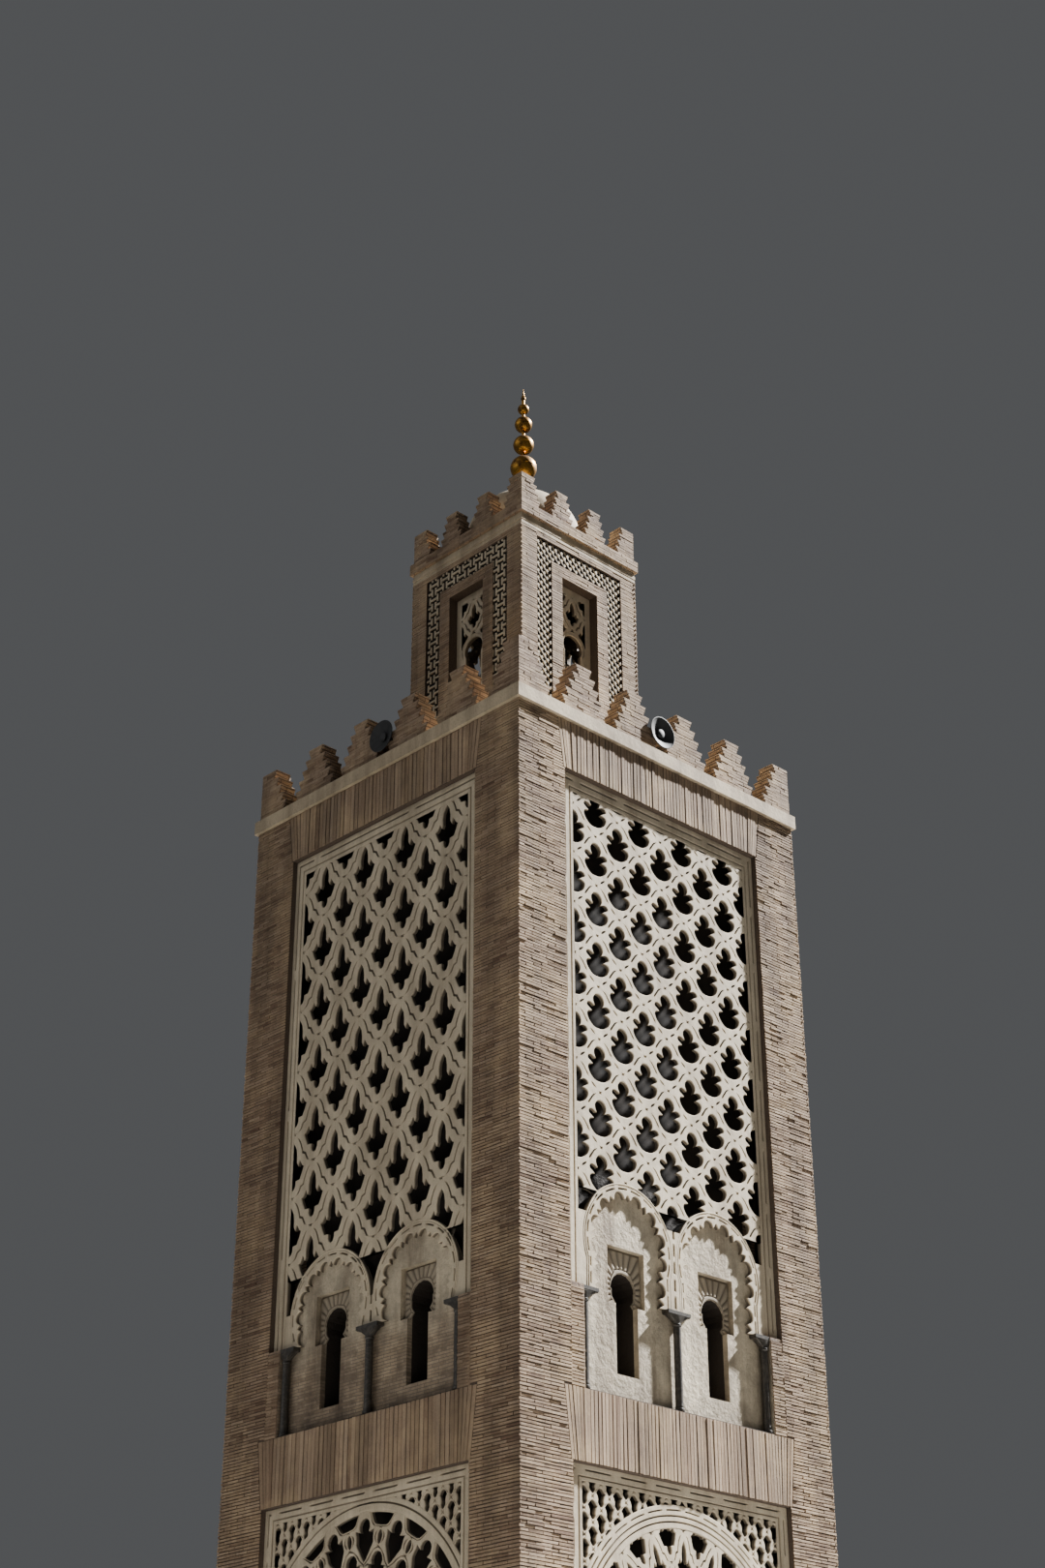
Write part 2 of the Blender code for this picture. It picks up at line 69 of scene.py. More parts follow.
# Heights by kind of face, front and back first: foot of the upper screen, square recess round
# a window, middle of the window's round head and middle of the arches
ZONES = (
    {"ledge": 8.10, "alfiz": (8.07, 8.59), "window": 8.262, "arch": 8.385},
    {"ledge": 8.20, "alfiz": (8.147, 8.716), "window": 8.307, "arch": 8.735},
)
ARCH_U = 0.663         # how far the windows and their arches stand from the middle
LATTICE_HALF = 1.37    # opening that the frame of a screen leaves for its net
LATTICE_TOP = 13.62
PLASTER_HALF = 1.366   # the plaster between the windows ends here, at the brick jambs
LANTERN_HALF = 0.98
CLEAR = 0.0003         # room left between pieces that stand on or under each other


def srgb(code):
    """Linear colour of an sRGB hex code."""
    value = np.array([int(code[i:i + 2], 16) for i in (0, 2, 4)]) / 255.0
    value = np.where(value <= 0.04045, value / 12.92, ((value + 0.055) / 1.055) ** 2.4)
    return (*value.tolist(), 1.0)


def add(tree, kind, settings=None, **links):
    """Add a node. Settings with a socket's name set that socket, others the node itself;
    links give the output that feeds each socket, with _ for a space in its name."""
    made = tree.nodes.new("ShaderNode" + kind)
    for key, value in (settings or {}).items():
        if isinstance(key, int) or key in made.inputs:
            made.inputs[key].default_value = value
        else:
            setattr(made, key, value)
    for key, source in links.items():
        target = int(key[1:]) if key[0] == "_" else key.replace("_", " ")
        tree.links.new(source, made.inputs[target])
    return made


def ramp(tree, source, stops):
    """Colour ramp with (position, hex or grey) stops, fed by source."""
    made = add(tree, "ValToRGB", _0=source)
    elements = made.color_ramp.elements
    while len(elements) < len(stops):
        elements.new(0.5)
    for element, (position, tone) in zip(elements, stops):
        element.position = position
        element.color = srgb(tone) if isinstance(tone, str) else (tone, tone, tone, 1.0)
    return made.outputs["Color"]


def blend(tree, kind, share, first, second):
    """Mix two colours; share is a number or an output."""
    made = tree.nodes.new("ShaderNodeMix")
    made.data_type = "RGBA"
    made.blend_type = kind
    for socket, value in ((0, share), (6, first), (7, second)):
        if isinstance(value, bpy.types.NodeSocket):
            tree.links.new(value, made.inputs[socket])
        else:
            made.inputs[socket].default_value = value
    return made.outputs[2]


def start_material(name, roughness, metallic=0.0):
    """New material; gives it, its tree, its shader and the Object coordinates."""
    made = bpy.data.materials.new(name)
    made.use_nodes = True
    tree = made.node_tree
    shader = tree.nodes["Principled BSDF"]
    shader.inputs["Roughness"].default_value = roughness
    shader.inputs["Metallic"].default_value = metallic
    place = add(tree, "TexCoord").outputs["Object"]
    return made, tree, shader, place


def dress(tree, shader, colour, relief):
    """Feed the base colour and the normal of a shader."""
    tree.links.new(colour, shader.inputs["Base Color"])
    tree.links.new(relief, shader.inputs["Normal"])


def noise(tree, place, scale, detail=4.0, rough=0.6, warp=0.0):
    """Noise with features of about 1 / scale metres."""
    settings = {"Scale": scale, "Detail": detail, "Roughness": rough, "Distortion": warp}
    return add(tree, "TexNoise", settings, Vector=place).outputs["Fac"]


def along_wall(tree, place):
    """Coordinates (x + y, z, 0), which run along every upright face."""
    parts = add(tree, "SeparateXYZ", Vector=place).outputs
    run = add(tree, "Math", {"operation": "ADD"}, _0=parts["X"], _1=parts["Y"])
    return add(tree, "CombineXYZ", X=run.outputs[0], Y=parts["Z"]).outputs[0]


def streaks(tree, place):
    """Noise drawn out downwards, as rain leaves it on a wall."""
    stretched = add(tree, "Mapping", {"Scale": (1.0, 1.0, 0.12)}, Vector=place).outputs[0]
    return noise(tree, stretched, 3.2, 5.0, 0.65)


def bump(tree, height, strength, distance, below=None):
    """Bump of a real depth in metres."""
    links = {"Height": height}
    if below is not None:
        links["Normal"] = below
    settings = {"Strength": strength, "Distance": distance}
    return add(tree, "Bump", settings, **links).outputs["Normal"]


class TowerColours(bpy.types.PropertyGroup):
    """Colours that a user may change, as sRGB hex codes."""
    brick_light: StringProperty(name="Light brick", description="Palest fired bricks",
                                default="bea58b")
    brick_dark: StringProperty(name="Dark brick", description="Hardest fired bricks",
                               default="7e624e")
    mortar: StringProperty(name="Mortar", description="Lime mortar between the bricks",
                           default="65564a")
    stucco: StringProperty(name="Stucco", description="Carved lime stucco of the screens",
                           default="dccdb2")
    render_coat: StringProperty(name="Render", description="Rendered cornice and dome",
                                default="cfbd9f")
    marble: StringProperty(name="Marble", description="Window columns", default="4b463f")
    gilding: StringProperty(name="Gilding", description="Balls of the finial",
                            default="b98a3c")
    enamel: StringProperty(name="Enamel", description="Horn loudspeakers", default="323334")
    floor: StringProperty(name="Floor", description="Studio floor", default="a5a29c")


class TowerSizes(bpy.types.PropertyGroup):
    """Sizes of the surface work that a user may change."""
    course: FloatProperty(name="Brick course", description="Height of a brick and its joint",
                          default=0.0334, min=0.02, unit="LENGTH")
    stretcher: FloatProperty(name="Stretcher", description="Length of a brick and its joint",
                             default=0.205, min=0.06, unit="LENGTH")
    joint: FloatProperty(name="Joint", description="Width of a mortar joint",
                         default=0.011, min=0.002, unit="LENGTH")
    proud: FloatProperty(name="Brick relief", description="How far a brick stands out",
                         default=0.012, min=0.001, unit="LENGTH")
    soldier: FloatProperty(name="Upright brick", description="Pitch of the upright bricks",
                           default=0.062, min=0.03, unit="LENGTH")
    groove: FloatProperty(name="Rib groove", description="Depth of the line cut in a rib",
                          default=0.022, min=0.001, unit="LENGTH")
    lens: FloatProperty(name="Lens", description="Focal length of the camera in millimetres",
                        default=53.85, min=10.0)


def brick_colours(tree, place, tone):
    """Colour of bricks by their own tone, with blotches, lime bloom, soot and rain marks."""
    colours = bpy.context.scene.tower_colours
    base = ramp(tree, tone, ((0.0, colours.brick_dark), (0.45, "a78d73"),
                             (1.0, colours.brick_light)))
    grit = ramp(tree, noise(tree, place, 90.0, 6.0, 0.7), ((0.3, 0.5), (0.66, 1.0)))
    base = blend(tree, "MULTIPLY", 0.85, base, grit)
    bloom = ramp(tree, noise(tree, place, 1.7, 7.0, 0.68), ((0.46, 0.0), (0.72, 0.75)))
    base = blend(tree, "MIX", bloom, base, srgb("cdb28c"))
    soot = ramp(tree, streaks(tree, place), ((0.35, 0.5), (0.62, 1.0)))
    return blend(tree, "MULTIPLY", 0.8, base, soot)


def laid_brick():
    """Hand-moulded fired brick: gritty, matt, no two quite the same tone."""
    made, tree, shader, place = start_material("hand_moulded_brick", 0.88)
    tone = add(tree, "Attribute", {"attribute_name": "tone"}).outputs["Fac"]
    colour = brick_colours(tree, place, tone)
    fine = bump(tree, noise(tree, place, 160.0, 6.0, 0.7), 0.6, 0.002)
    dress(tree, shader, colour, bump(tree, noise(tree, place, 26.0, 4.0, 0.6), 0.5, 0.004, fine))
    return made


def laid_courses(tree, place, course):
    """Bricks in courses on a bent grid: outputs of their tone and of the joints."""
    sizes = bpy.context.scene.tower_sizes
    flat = along_wall(tree, place)
    settings = {"Scale": 1.0, "Mortar Size": sizes.joint / 2, "Mortar Smooth": 0.25,
                "Bias": 0.0, "Brick Width": sizes.stretcher, "Row Height": course,
                "Color1": (0.0, 0.0, 0.0, 1.0), "Color2": (1.0, 1.0, 1.0, 1.0),
                "Mortar": (0.5, 0.5, 0.5, 1.0)}
    wobble = add(tree, "TexNoise", {"Scale": 9.0}, Vector=flat).outputs["Color"]
    shift = add(tree, "VectorMath", {"operation": "SCALE", "Scale": 0.012}, _0=wobble)
    bent = add(tree, "VectorMath", {"operation": "ADD"}, _0=flat, _1=shift.outputs[0])
    laid = add(tree, "TexBrick", settings, Vector=bent.outputs[0])
    return laid.outputs["Color"], laid.outputs["Fac"]


def course_brick(name, course):
    """Brick laid in courses, where the pattern alone gives the joints: merlons, inner walls."""
    made, tree, shader, place = start_material(name, 0.9)
    tone, joints = laid_courses(tree, place, course)
    tone = add(tree, "Math", {"operation": "MULTIPLY_ADD", 1: 0.45, 2: 0.4}, _0=tone).outputs[0]
    colour = brick_colours(tree, place, tone)
    colour = blend(tree, "MIX", joints, colour, srgb(bpy.context.scene.tower_colours.mortar))
    raised = ramp(tree, joints, ((0.0, 1.0), (1.0, 0.0)))
    fine = bump(tree, noise(tree, place, 110.0, 6.0, 0.7), 0.6, 0.003)
    dress(tree, shader, colour, bump(tree, raised, 0.9, 0.008, fine))
    return made


def off_axis(tree, place, choice):
    """The larger (MAXIMUM) or smaller (MINIMUM) distance from the tower's middle planes, and
    the height."""
    parts = add(tree, "SeparateXYZ", Vector=place).outputs
    sides = [add(tree, "Math", {"operation": "ABSOLUTE"}, _0=parts[axis]).outputs[0]
             for axis in "XY"]
    found = add(tree, "Math", {"operation": choice}, _0=sides[0], _1=sides[1]).outputs[0]
    return found, parts["Z"]


def inside(tree, place, depth=0.15):
    """1 deeper than depth behind the faces of shaft or lantern, 0 outside."""
    far, height = off_axis(tree, place, "MAXIMUM")
    upper = add(tree, "Math", {"operation": "GREATER_THAN", 1: TERRACE}, _0=height).outputs[0]
    limit = add(tree, "Math", {"operation": "MULTIPLY_ADD", 1: LANTERN_HALF - SHAFT_HALF,
                               2: SHAFT_HALF - depth}, _0=upper).outputs[0]
    return add(tree, "Math", {"operation": "LESS_THAN"}, _0=far, _1=limit).outputs[0]


def lime_mortar():
    """Struck lime mortar: sandy and slightly paler or greyer than the bricks it holds. Deep behind
    the screens it is painted near black as shade."""
    colours = bpy.context.scene.tower_colours
    made, tree, shader, place = start_material("lime_mortar", 0.95)
    sand = ramp(tree, noise(tree, place, 60.0, 6.0, 0.7), ((0.3, "3f342b"), (0.7, colours.mortar)))
    # painted shade: near black where the surface lies deep behind the faces, as behind the screens
    painted_shade = ramp(tree, noise(tree, place, 5.0), ((0.3, "16110d"), (0.7, "2c231b")))
    sand = blend(tree, "MIX", inside(tree, place), sand, painted_shade)
    dress(tree, shader, sand, bump(tree, noise(tree, place, 140.0), 0.5, 0.002))
    return made


def soot_and_shade_render():
    """Render at the bottom of the border channels, near black: soot, with painted shade of the
    sunk channel.
    """
    made, tree, shader, place = start_material("soot_and_shade_render", 0.95)
    # near-black colour: soot together with painted shade of the channel
    soot = ramp(tree, noise(tree, place, 30.0, 6.0, 0.7), ((0.3, "120f0c"), (0.7, "2a231c")))
    dress(tree, shader, soot, bump(tree, noise(tree, place, 140.0), 0.5, 0.002))
    return made


def stucco(name, colour, tooth, worn):
    """Lime plaster; tooth is the scale of its grain and worn how dark its rain marks are."""
    made, tree, shader, place = start_material(name, 0.82)
    dirt = ramp(tree, streaks(tree, place), ((0.32, "8d7c66"), (0.6, colour)))
    cloud = ramp(tree, noise(tree, place, 4.5, 6.0, 0.62), ((0.35, 0.78), (0.65, 1.0)))
    base = blend(tree, "MIX", worn, srgb(colour), dirt)
    base = blend(tree, "MULTIPLY", 0.7, base, cloud)
    pits = ramp(tree, noise(tree, place, tooth, 6.0, 0.75), ((0.36, 0.55), (0.5, 1.0)))
    base = blend(tree, "MULTIPLY", 0.5, base, pits)
    fine = bump(tree, noise(tree, place, tooth, 6.0, 0.7), 0.5, 0.002)
    dress(tree, shader, base, bump(tree, noise(tree, place, 9.0, 3.0), 0.5, 0.01, fine))
    return made


def carved_stucco(outer, inner):
    """Lime stucco cut while soft: pale, chalky, with rain marks under the ribs; what lies behind
    its face is darkened with depth, dust together with painted shade. outer and inner are how far
    from the tower's axis its face and the floor of its grooves stand."""
    made = stucco(f"carved_lime_stucco_{outer:.3f}", bpy.context.scene.tower_colours.stucco,
                  85.0, 0.6)
    tree = made.node_tree
    shader = tree.nodes["Principled BSDF"]
    place = add(tree, "TexCoord").outputs["Object"]
    far, _ = off_axis(tree, place, "MAXIMUM")
    # dust and painted shade: darker with depth from the face towards the floor of the grooves
    settings = {"From Min": outer - 0.003, "From Max": inner, "To Min": 0.0, "To Max": 0.8}
    dust = add(tree, "MapRange", settings, Value=far).outputs[0]
    coat = shader.inputs["Base Color"].links[0].from_socket
    coat = blend(tree, "MIX", dust, coat, srgb("3d332a"))
    tree.links.new(coat, shader.inputs["Base Color"])
    return made


def floated_render():
    """Lime render floated by hand over the cornice and dome: broad marks, hairline grain."""
    return stucco("floated_lime_render", bpy.context.scene.tower_colours.render_coat, 45.0, 0.75)


def window_plaster(worn):
    """Trowelled plaster of the window wall, with brick left bare on the two jambs and, where
    worn, brick that shows through a thin coat low down. Deep inside the windows it is painted
    dark as shade."""
    colours = bpy.context.scene.tower_colours
    made = stucco("worn_window_plaster" if worn else "trowelled_window_plaster",
                  colours.stucco, 60.0, 0.9)
    tree = made.node_tree
    shader = tree.nodes["Principled BSDF"]
    coat = shader.inputs["Base Color"].links[0].from_socket
    place = add(tree, "TexCoord").outputs["Object"]
    near, height = off_axis(tree, place, "MINIMUM")
    jamb = add(tree, "Math", {"operation": "GREATER_THAN", 1: PLASTER_HALF},
               _0=near).outputs[0]
    tone, joints = laid_courses(tree, place, bpy.context.scene.tower_sizes.course)
    courses = brick_colours(tree, place, tone)
    courses = blend(tree, "MIX", joints, courses, srgb(colours.mortar))
    if worn:
        edge = add(tree, "Math", {"operation": "MULTIPLY_ADD", 1: 0.5},
                   _0=noise(tree, place, 5.0), _2=height).outputs[0]
        low = add(tree, "MapRange", {"From Min": 8.45, "From Max": 8.05}, Value=edge)
        bare = ramp(tree, low.outputs[0], ((0.0, 0.0), (1.0, 0.75)))
        coat = blend(tree, "MIX", bare, coat, courses)
    patch = ramp(tree, noise(tree, place, 3.4, 9.0, 0.72), ((0.38, 0.55), (0.62, 1.0)))
    coat = blend(tree, "MULTIPLY", 0.8, coat, patch)
    # painted shade: dark where the surface lies deep inside the windows
    coat = blend(tree, "MIX", inside(tree, place, 0.172), coat, srgb("2a221b"))
    dress(tree, shader, blend(tree, "MIX", jamb, coat, courses),
          bump(tree, noise(tree, place, 14.0, 7.0, 0.62), 0.9, 0.02))
    return made


def turned_marble():
    """Turned and rubbed marble gone dull outdoors: grey veins, low sheen."""
    colour = bpy.context.scene.tower_colours.marble
    made, tree, shader, place = start_material("rubbed_marble", 0.42)
    vein = noise(tree, place, 7.0, 8.0, 0.65, 1.6)
    tone = ramp(tree, vein, ((0.40, colour), (0.5, "2b2825"), (0.58, colour)))
    dust = ramp(tree, noise(tree, place, 30.0), ((0.3, 0.7), (0.7, 1.0)))
    dress(tree, shader, blend(tree, "MULTIPLY", 0.6, tone, dust),
          bump(tree, noise(tree, place, 120.0), 0.2, 0.001))
    return made


def gilt_copper():
    """Beaten copper, gilded and weathered: soft dents, brown patches where gilding wore off."""
    colour = bpy.context.scene.tower_colours.gilding
    made, tree, shader, place = start_material("beaten_gilt_copper", 0.34, 1.0)
    patch = noise(tree, place, 11.0, 6.0, 0.65)
    tone = ramp(tree, patch, ((0.36, "5a4228"), (0.56, colour)))
    tree.links.new(ramp(tree, patch, ((0.36, 0.6), (0.6, 0.3))), shader.inputs["Roughness"])
    dress(tree, shader, tone, bump(tree, noise(tree, place, 24.0, 2.0), 0.35, 0.004))
    return made


def stoved_enamel():
    """Grey enamel stoved on spun aluminium: even, slightly dusty, a soft gloss."""
    colour = bpy.context.scene.tower_colours.enamel
    made, tree, shader, place = start_material("stoved_grey_enamel", 0.62)
    dust = ramp(tree, noise(tree, place, 18.0, 5.0), ((0.35, "262728"), (0.65, colour)))
    dress(tree, shader, dust, bump(tree, noise(tree, place, 200.0), 0.15, 0.0005))
    return made


def shared(maker, *values):
    """A material is made once and shared by the pieces of its kind."""
    key = maker.__name__ + "".join(str(v) for v in values)
    if key not in shared.made:
        shared.made[key] = maker(*values)
    return shared.made[key]


shared.made = {}


def on_tower(points, face, half=SHAFT_HALF):
    """Rows (u, z, d) of a face frame as rows (x, y, z) of the tower."""
    u, z, depth = np.moveaxis(np.asarray(points, float), -1, 0)
    c, s = ((1, 0), (0, 1), (-1, 0), (0, -1))[face % 4]
    y = depth - half
    return np.stack([c * u - s * y, s * u + c * y, z], -1)


def put(name, points, faces, finish, node=(), smooth=None, tone=None, slot=None, merge=True):
    """Make the piece from arrays of points and of four-cornered faces. Points that meet are
    joined, faces that shrank to a line go, and closed shells are turned to face outwards."""
    points = np.asarray(points, float).reshape(-1, 3)
    faces = np.asarray(faces, int).reshape(-1, 4)
    mesh = bpy.data.meshes.new(name)
    mesh.from_pydata(points.tolist(), [], faces.tolist())
    if tone is not None:
        layer = mesh.attributes.new("tone", "FLOAT", "FACE")
        layer.data.foreach_set("value", np.asarray(tone, np.float32))
    if merge:
        close(mesh)
    mesh.update()
    mesh.materials.append(finish)
    if smooth is not None:
        mesh.shade_smooth()
        mesh.set_sharp_from_angle(angle=radians(smooth))
    piece = bpy.data.objects.new(name, mesh)
    bpy.context.scene.collection.objects.link(piece)
    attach(piece, "root")
    if node:
        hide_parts(*node)
    return piece


def close(mesh):
    """Join the points that meet and turn closed shells outwards."""
    work = bmesh.new()
    work.from_mesh(mesh)
    bmesh.ops.remove_doubles(work, verts=work.verts, dist=2e-5)
    thin = [f for f in work.faces if f.calc_area() < 1e-9]
    bmesh.ops.delete(work, geom=thin, context="FACES")
    loose = [v for v in work.verts if not v.link_faces]
    bmesh.ops.delete(work, geom=loose, context="VERTS")
    bmesh.ops.recalc_face_normals(work, faces=work.faces)
    work.to_mesh(mesh)
    work.free()


BLOCK = np.array([(0, 1, 2, 3), (5, 4, 7, 6), (4, 0, 3, 7), (1, 5, 6, 2), (4, 5, 1, 0),
                  (3, 2, 6, 7)])


def blocks(rects, front, back):
    """Closed blocks over rectangles (u0, u1, z0, z1), from a front to a back depth each."""
    u0, u1, z0, z1 = np.asarray(rects, float).T
    front = np.broadcast_to(front, u0.shape)
    back = np.broadcast_to(back, u0.shape)
    ring = [(u0, z0), (u1, z0), (u1, z1), (u0, z1)]
    points = np.stack([np.stack([u, z, d], -1) for d in (front, back) for u, z in ring], 1)
    return points, BLOCK[None] + 8 * np.arange(len(u0))[:, None, None]


def coursed(limits, rows, height, width, joint, seed):
    """Rectangles of bricks in rows. limits gives the ends (u0, u1) of each row, rows the foot
    of each; every other row moves by half a brick and a brick end never gets too thin."""
    rng = np.random.default_rng(seed)
    limits = np.asarray(limits, float)
    rows = np.asarray(rows, float)
    span = (limits[:, 1] - limits[:, 0]).max()
    count = int(span / width) + 3
    shift = (np.arange(len(rows)) % 2) * width / 2 - width
    left = limits[:, 0].min() + shift[:, None] + np.arange(count) * width
    left = left + rng.uniform(-0.02, 0.02, left.shape)
    right = np.roll(left, -1, 1)
    right[:, -1] = left[:, -1] + width
    low, high = limits[:, :1], limits[:, 1:]
    thin = width * 0.35
    left = np.where(left < low + thin, low, left)
    right = np.where(right > high - thin, high, right)
    right = np.where(right < low + thin, low, right)
    left = np.where(left > high - thin, high, left)
    keep = right - left > thin
    ends = (left <= low + 1e-6, right >= high - 1e-6)
    z0 = np.broadcast_to(rows[:, None], left.shape)
    rects = np.stack([left + np.where(ends[0], 0, joint / 4),
                      right - np.where(ends[1], 0, joint / 4),
                      z0 + joint / 2, z0 + height - joint / 2], -1)
    return rects[keep]


def uprights(u0, u1, z0, z1, pitch, joint):
    """Rectangles of bricks that stand on end side by side in a band."""
    count = int(round((u1 - u0) / pitch))
    step = (u1 - u0) / count
    left = u0 + (u1 - u0) * np.arange(count) / count
    return np.stack([left + joint / 2, left + step - joint / 2,
                     np.full(count, z0 + joint / 4), np.full(count, z1 - joint / 4)], -1)


BANDS = ((2.31, 3.00), (6.505, 7.20), (13.83, 14.43))
BAND_HALF = 1.65
SKEW = 0.085          # how far the foot of a flat arch is drawn in at its ends
BEDDED = 0.004        # how deep the bricks go into the wall
DOOR_HALF, DOOR_HEAD = 0.44, 2.10
DOOR_ROUND = (1.62, 0.47)     # height of the middle of the door's arch, and its radius


class Masonry:
    """Gathers brick blocks of several faces into one piece."""

    def __init__(self, seed, relief=1.0):
        self.relief = relief
        self.rng = np.random.default_rng(seed)
        self.points, self.faces, self.tones, self.count = [], [], [], 0

    def take(self, points, faces, tones, face, half):
        """Keep blocks of a face frame, with the tone of each."""
        self.points.append(on_tower(points, face, half).reshape(-1, 3))
        self.faces.append(faces.reshape(-1, 4) + self.count)
        self.tones.append(np.repeat(tones, len(BLOCK)))
        self.count += 8 * len(tones)

    def lay(self, rects, face, half=SHAFT_HALF, spread=0.4, middle=0.5, lean=None):
        """Lay bricks on the face; each stands out a little differently and has its own tone.
        lean gives a sideways shift of points, as in a flat arch."""
        proud = bpy.context.scene.tower_sizes.proud * self.relief
        amount = len(rects)
        rects = np.array(rects, float)
        rects[:, 2:] += self.rng.uniform(-0.002, 0.002, (amount, 2))
        front = -proud * self.rng.uniform(0.25, 1.0, amount)
        points, faces = blocks(rects, front, BEDDED)
        points[:, :4, 2] += self.rng.uniform(-0.0015, 0.002, (amount, 4))
        if lean is not None:
            points[..., 0] += lean(points[..., 0], points[..., 1])
        tones = np.clip(self.rng.normal(middle, spread * 0.5, amount), 0, 1)
        self.take(points, faces, tones, face, half)

    def bed(self, rects, face, half):
        """Mortar bed a millimetre thick under the bricks."""
        points, faces = blocks(rects, -0.001, BEDDED)
        self.take(points, faces, np.zeros(len(rects)), face, half)

    def finish(self, name, slot="brick"):
        return put(name, np.concatenate(self.points), np.concatenate(self.faces),
                   shared(laid_brick), tone=np.concatenate(self.tones), slot=slot, merge=False)


def pier_rows(course):
    """Feet of the courses of a pier and how far in each reaches beside the bands."""
    rows = np.arange(int(SHAFT_TOP / course + 1e-6)) * course
    middle = rows + course / 2
    inner = np.full(len(rows), PANEL_HALF)
    for low, high in BANDS:
        share = (middle - low) / (high - low)
        beside = (share > 0) & (share < 1)
        inner[beside] = (BAND_HALF + 0.006 + (share - 1) * SKEW)[beside]
    return rows, inner


def lay_pier(face):
    """Brick courses of the pier between this face and the next, bonded round its corner."""
    sizes = bpy.context.scene.tower_sizes
    rows, inner = pier_rows(sizes.course)
    turn = np.arange(len(rows)) % 2 * sizes.proud
    work = Masonry(10 + face)
    near = np.stack([inner, SHAFT_HALF + turn], -1)
    far = np.stack([-SHAFT_HALF - (sizes.proud - turn), -inner], -1)
    bond = (sizes.course, sizes.stretcher, sizes.joint)
    work.lay(coursed(near, rows, *bond, 20 + face), face)
    work.lay(coursed(far, rows, *bond, 30 + face), (face + 1) % 4)
    work.finish(f"{FACES[face]}_{FACES[(face + 1) % 4]}_pier_bricks")


def lay_wall(face):
    """Bricks of one side between its piers: the foot, the three bands and the window jambs."""
    sizes = bpy.context.scene.tower_sizes
    work = Masonry(40 + face)
    bond = (sizes.course, sizes.stretcher, sizes.joint)
    rows = np.arange(int(BANDS[0][0] / sizes.course + 1e-6)) * sizes.course
    if FACES[face] == "back":
        middle = rows + sizes.course / 2
        centre, radius = DOOR_ROUND
        arch = np.sqrt(np.clip(radius ** 2 - (middle - centre) ** 2, 0, 1))
        wide = np.where(middle < 1.46, DOOR_HALF, arch)
        wide = np.where(middle < DOOR_HEAD, np.maximum(wide, 0.05), 0.0)
        for side in (-1, 1):
            ends = np.sort(np.stack([side * wide, np.full(len(rows), side * PANEL_HALF)], -1))
            work.lay(coursed(ends, rows, *bond, 50 + face), face)
    else:
        ends = np.repeat([[-PANEL_HALF, PANEL_HALF]], len(rows), 0)
        work.lay(coursed(ends, rows, *bond, 50 + face), face)
    for low, high in BANDS:
        rects = uprights(-BAND_HALF, BAND_HALF, low + 0.004, high - 0.004,
                         sizes.soldier * (0.8 if face % 2 else 1.0), sizes.joint)
        jitter = work.rng.uniform(-0.004, 0.004, (len(rects), 1))
        rects[:, :2] += jitter * (np.abs(rects[:, :2]) < BAND_HALF - 0.05)
        work.lay(rects, face, middle=0.6, lean=lambda u, z: (
            smooth_step((np.abs(u) / BAND_HALF - 0.8) / 0.2) * np.sign(u)
            * ((z - low) / (high - low) - 1) * SKEW))
    ledge = ZONES[face % 2]["ledge"]
    rows = BAND_TOP + np.arange(int((ledge - BAND_TOP) / sizes.course)) * sizes.course
    for side in (-1, 1):
        ends = np.repeat([sorted((side * 1.372, side * PANEL_HALF))], len(rows), 0)
        work.lay(coursed(ends, rows, *bond, 60 + face), face)
    work.finish(f"{FACES[face]}_wall_bricks")


def lay_lantern(face):
    """Bricks of one side of the lantern, round its inlaid border and its window."""
    sizes = bpy.context.scene.tower_sizes
    work = Masonry(70 + face, 0.5)
    proud = sizes.proud
    foot, head = TERRACE + 0.003, 17.93
    course = sizes.course
    areas = ((-LANTERN_HALF, -0.725, foot, head), (0.725, LANTERN_HALF, foot, head),
             (-0.725, 0.725, foot, 15.30), (-0.725, 0.725, 17.86, head),
             (-0.476, -0.30, 15.30, 17.44), (0.30, 0.476, 15.30, 17.44),
             (-0.30, 0.30, 15.30, 15.45), (-0.476, 0.476, 17.44, 17.596))
    for i, (u0, u1, z0, z1) in enumerate(areas):
        count = max(1, int(round((z1 - z0) / course)))
        rows = z0 + np.arange(count) * (z1 - z0) / count
        left = u0 - (proud if i == 0 else 0) * (np.arange(count) % 2)
        right = u1 + (proud if i == 1 else 0) * (np.arange(count) % 2 == 0)
        rects = coursed(np.stack([left, right], -1), rows, (z1 - z0) / count, sizes.stretcher,
                        sizes.joint * 0.55, 80 + 8 * face + i)
        work.lay(rects, face, LANTERN_HALF, middle=0.65)
    work.finish(f"lantern_{FACES[face]}_bricks")


# Parapets: half width, foot, strip, height and number of levels, half width of the top level,
# growth per level, undercut, place of the corner merlons and of the others
PARAPETS = (
    (SHAFT_HALF, TERRACE + CLEAR, 0.035, 0.118, 5, 0.130, 0.054, 0.047, 2.093,
     (-1.232, -0.413, 0.413, 1.232)),
    (LANTERN_HALF, 18.246, 0.020, 0.105, 4, 0.105, 0.029, 0.040, 0.853, (-0.289, 0.289)),
)
LANTERN_EAVES = (18.091, 0.0385, 4)     # foot, course and number of courses of the slab's edge


def lay_parapets(face):
    """Bricks of the shaft's parapet and of the lantern's on one side."""
    for lantern in (0, 1):
        lay_parapet(face, lantern)


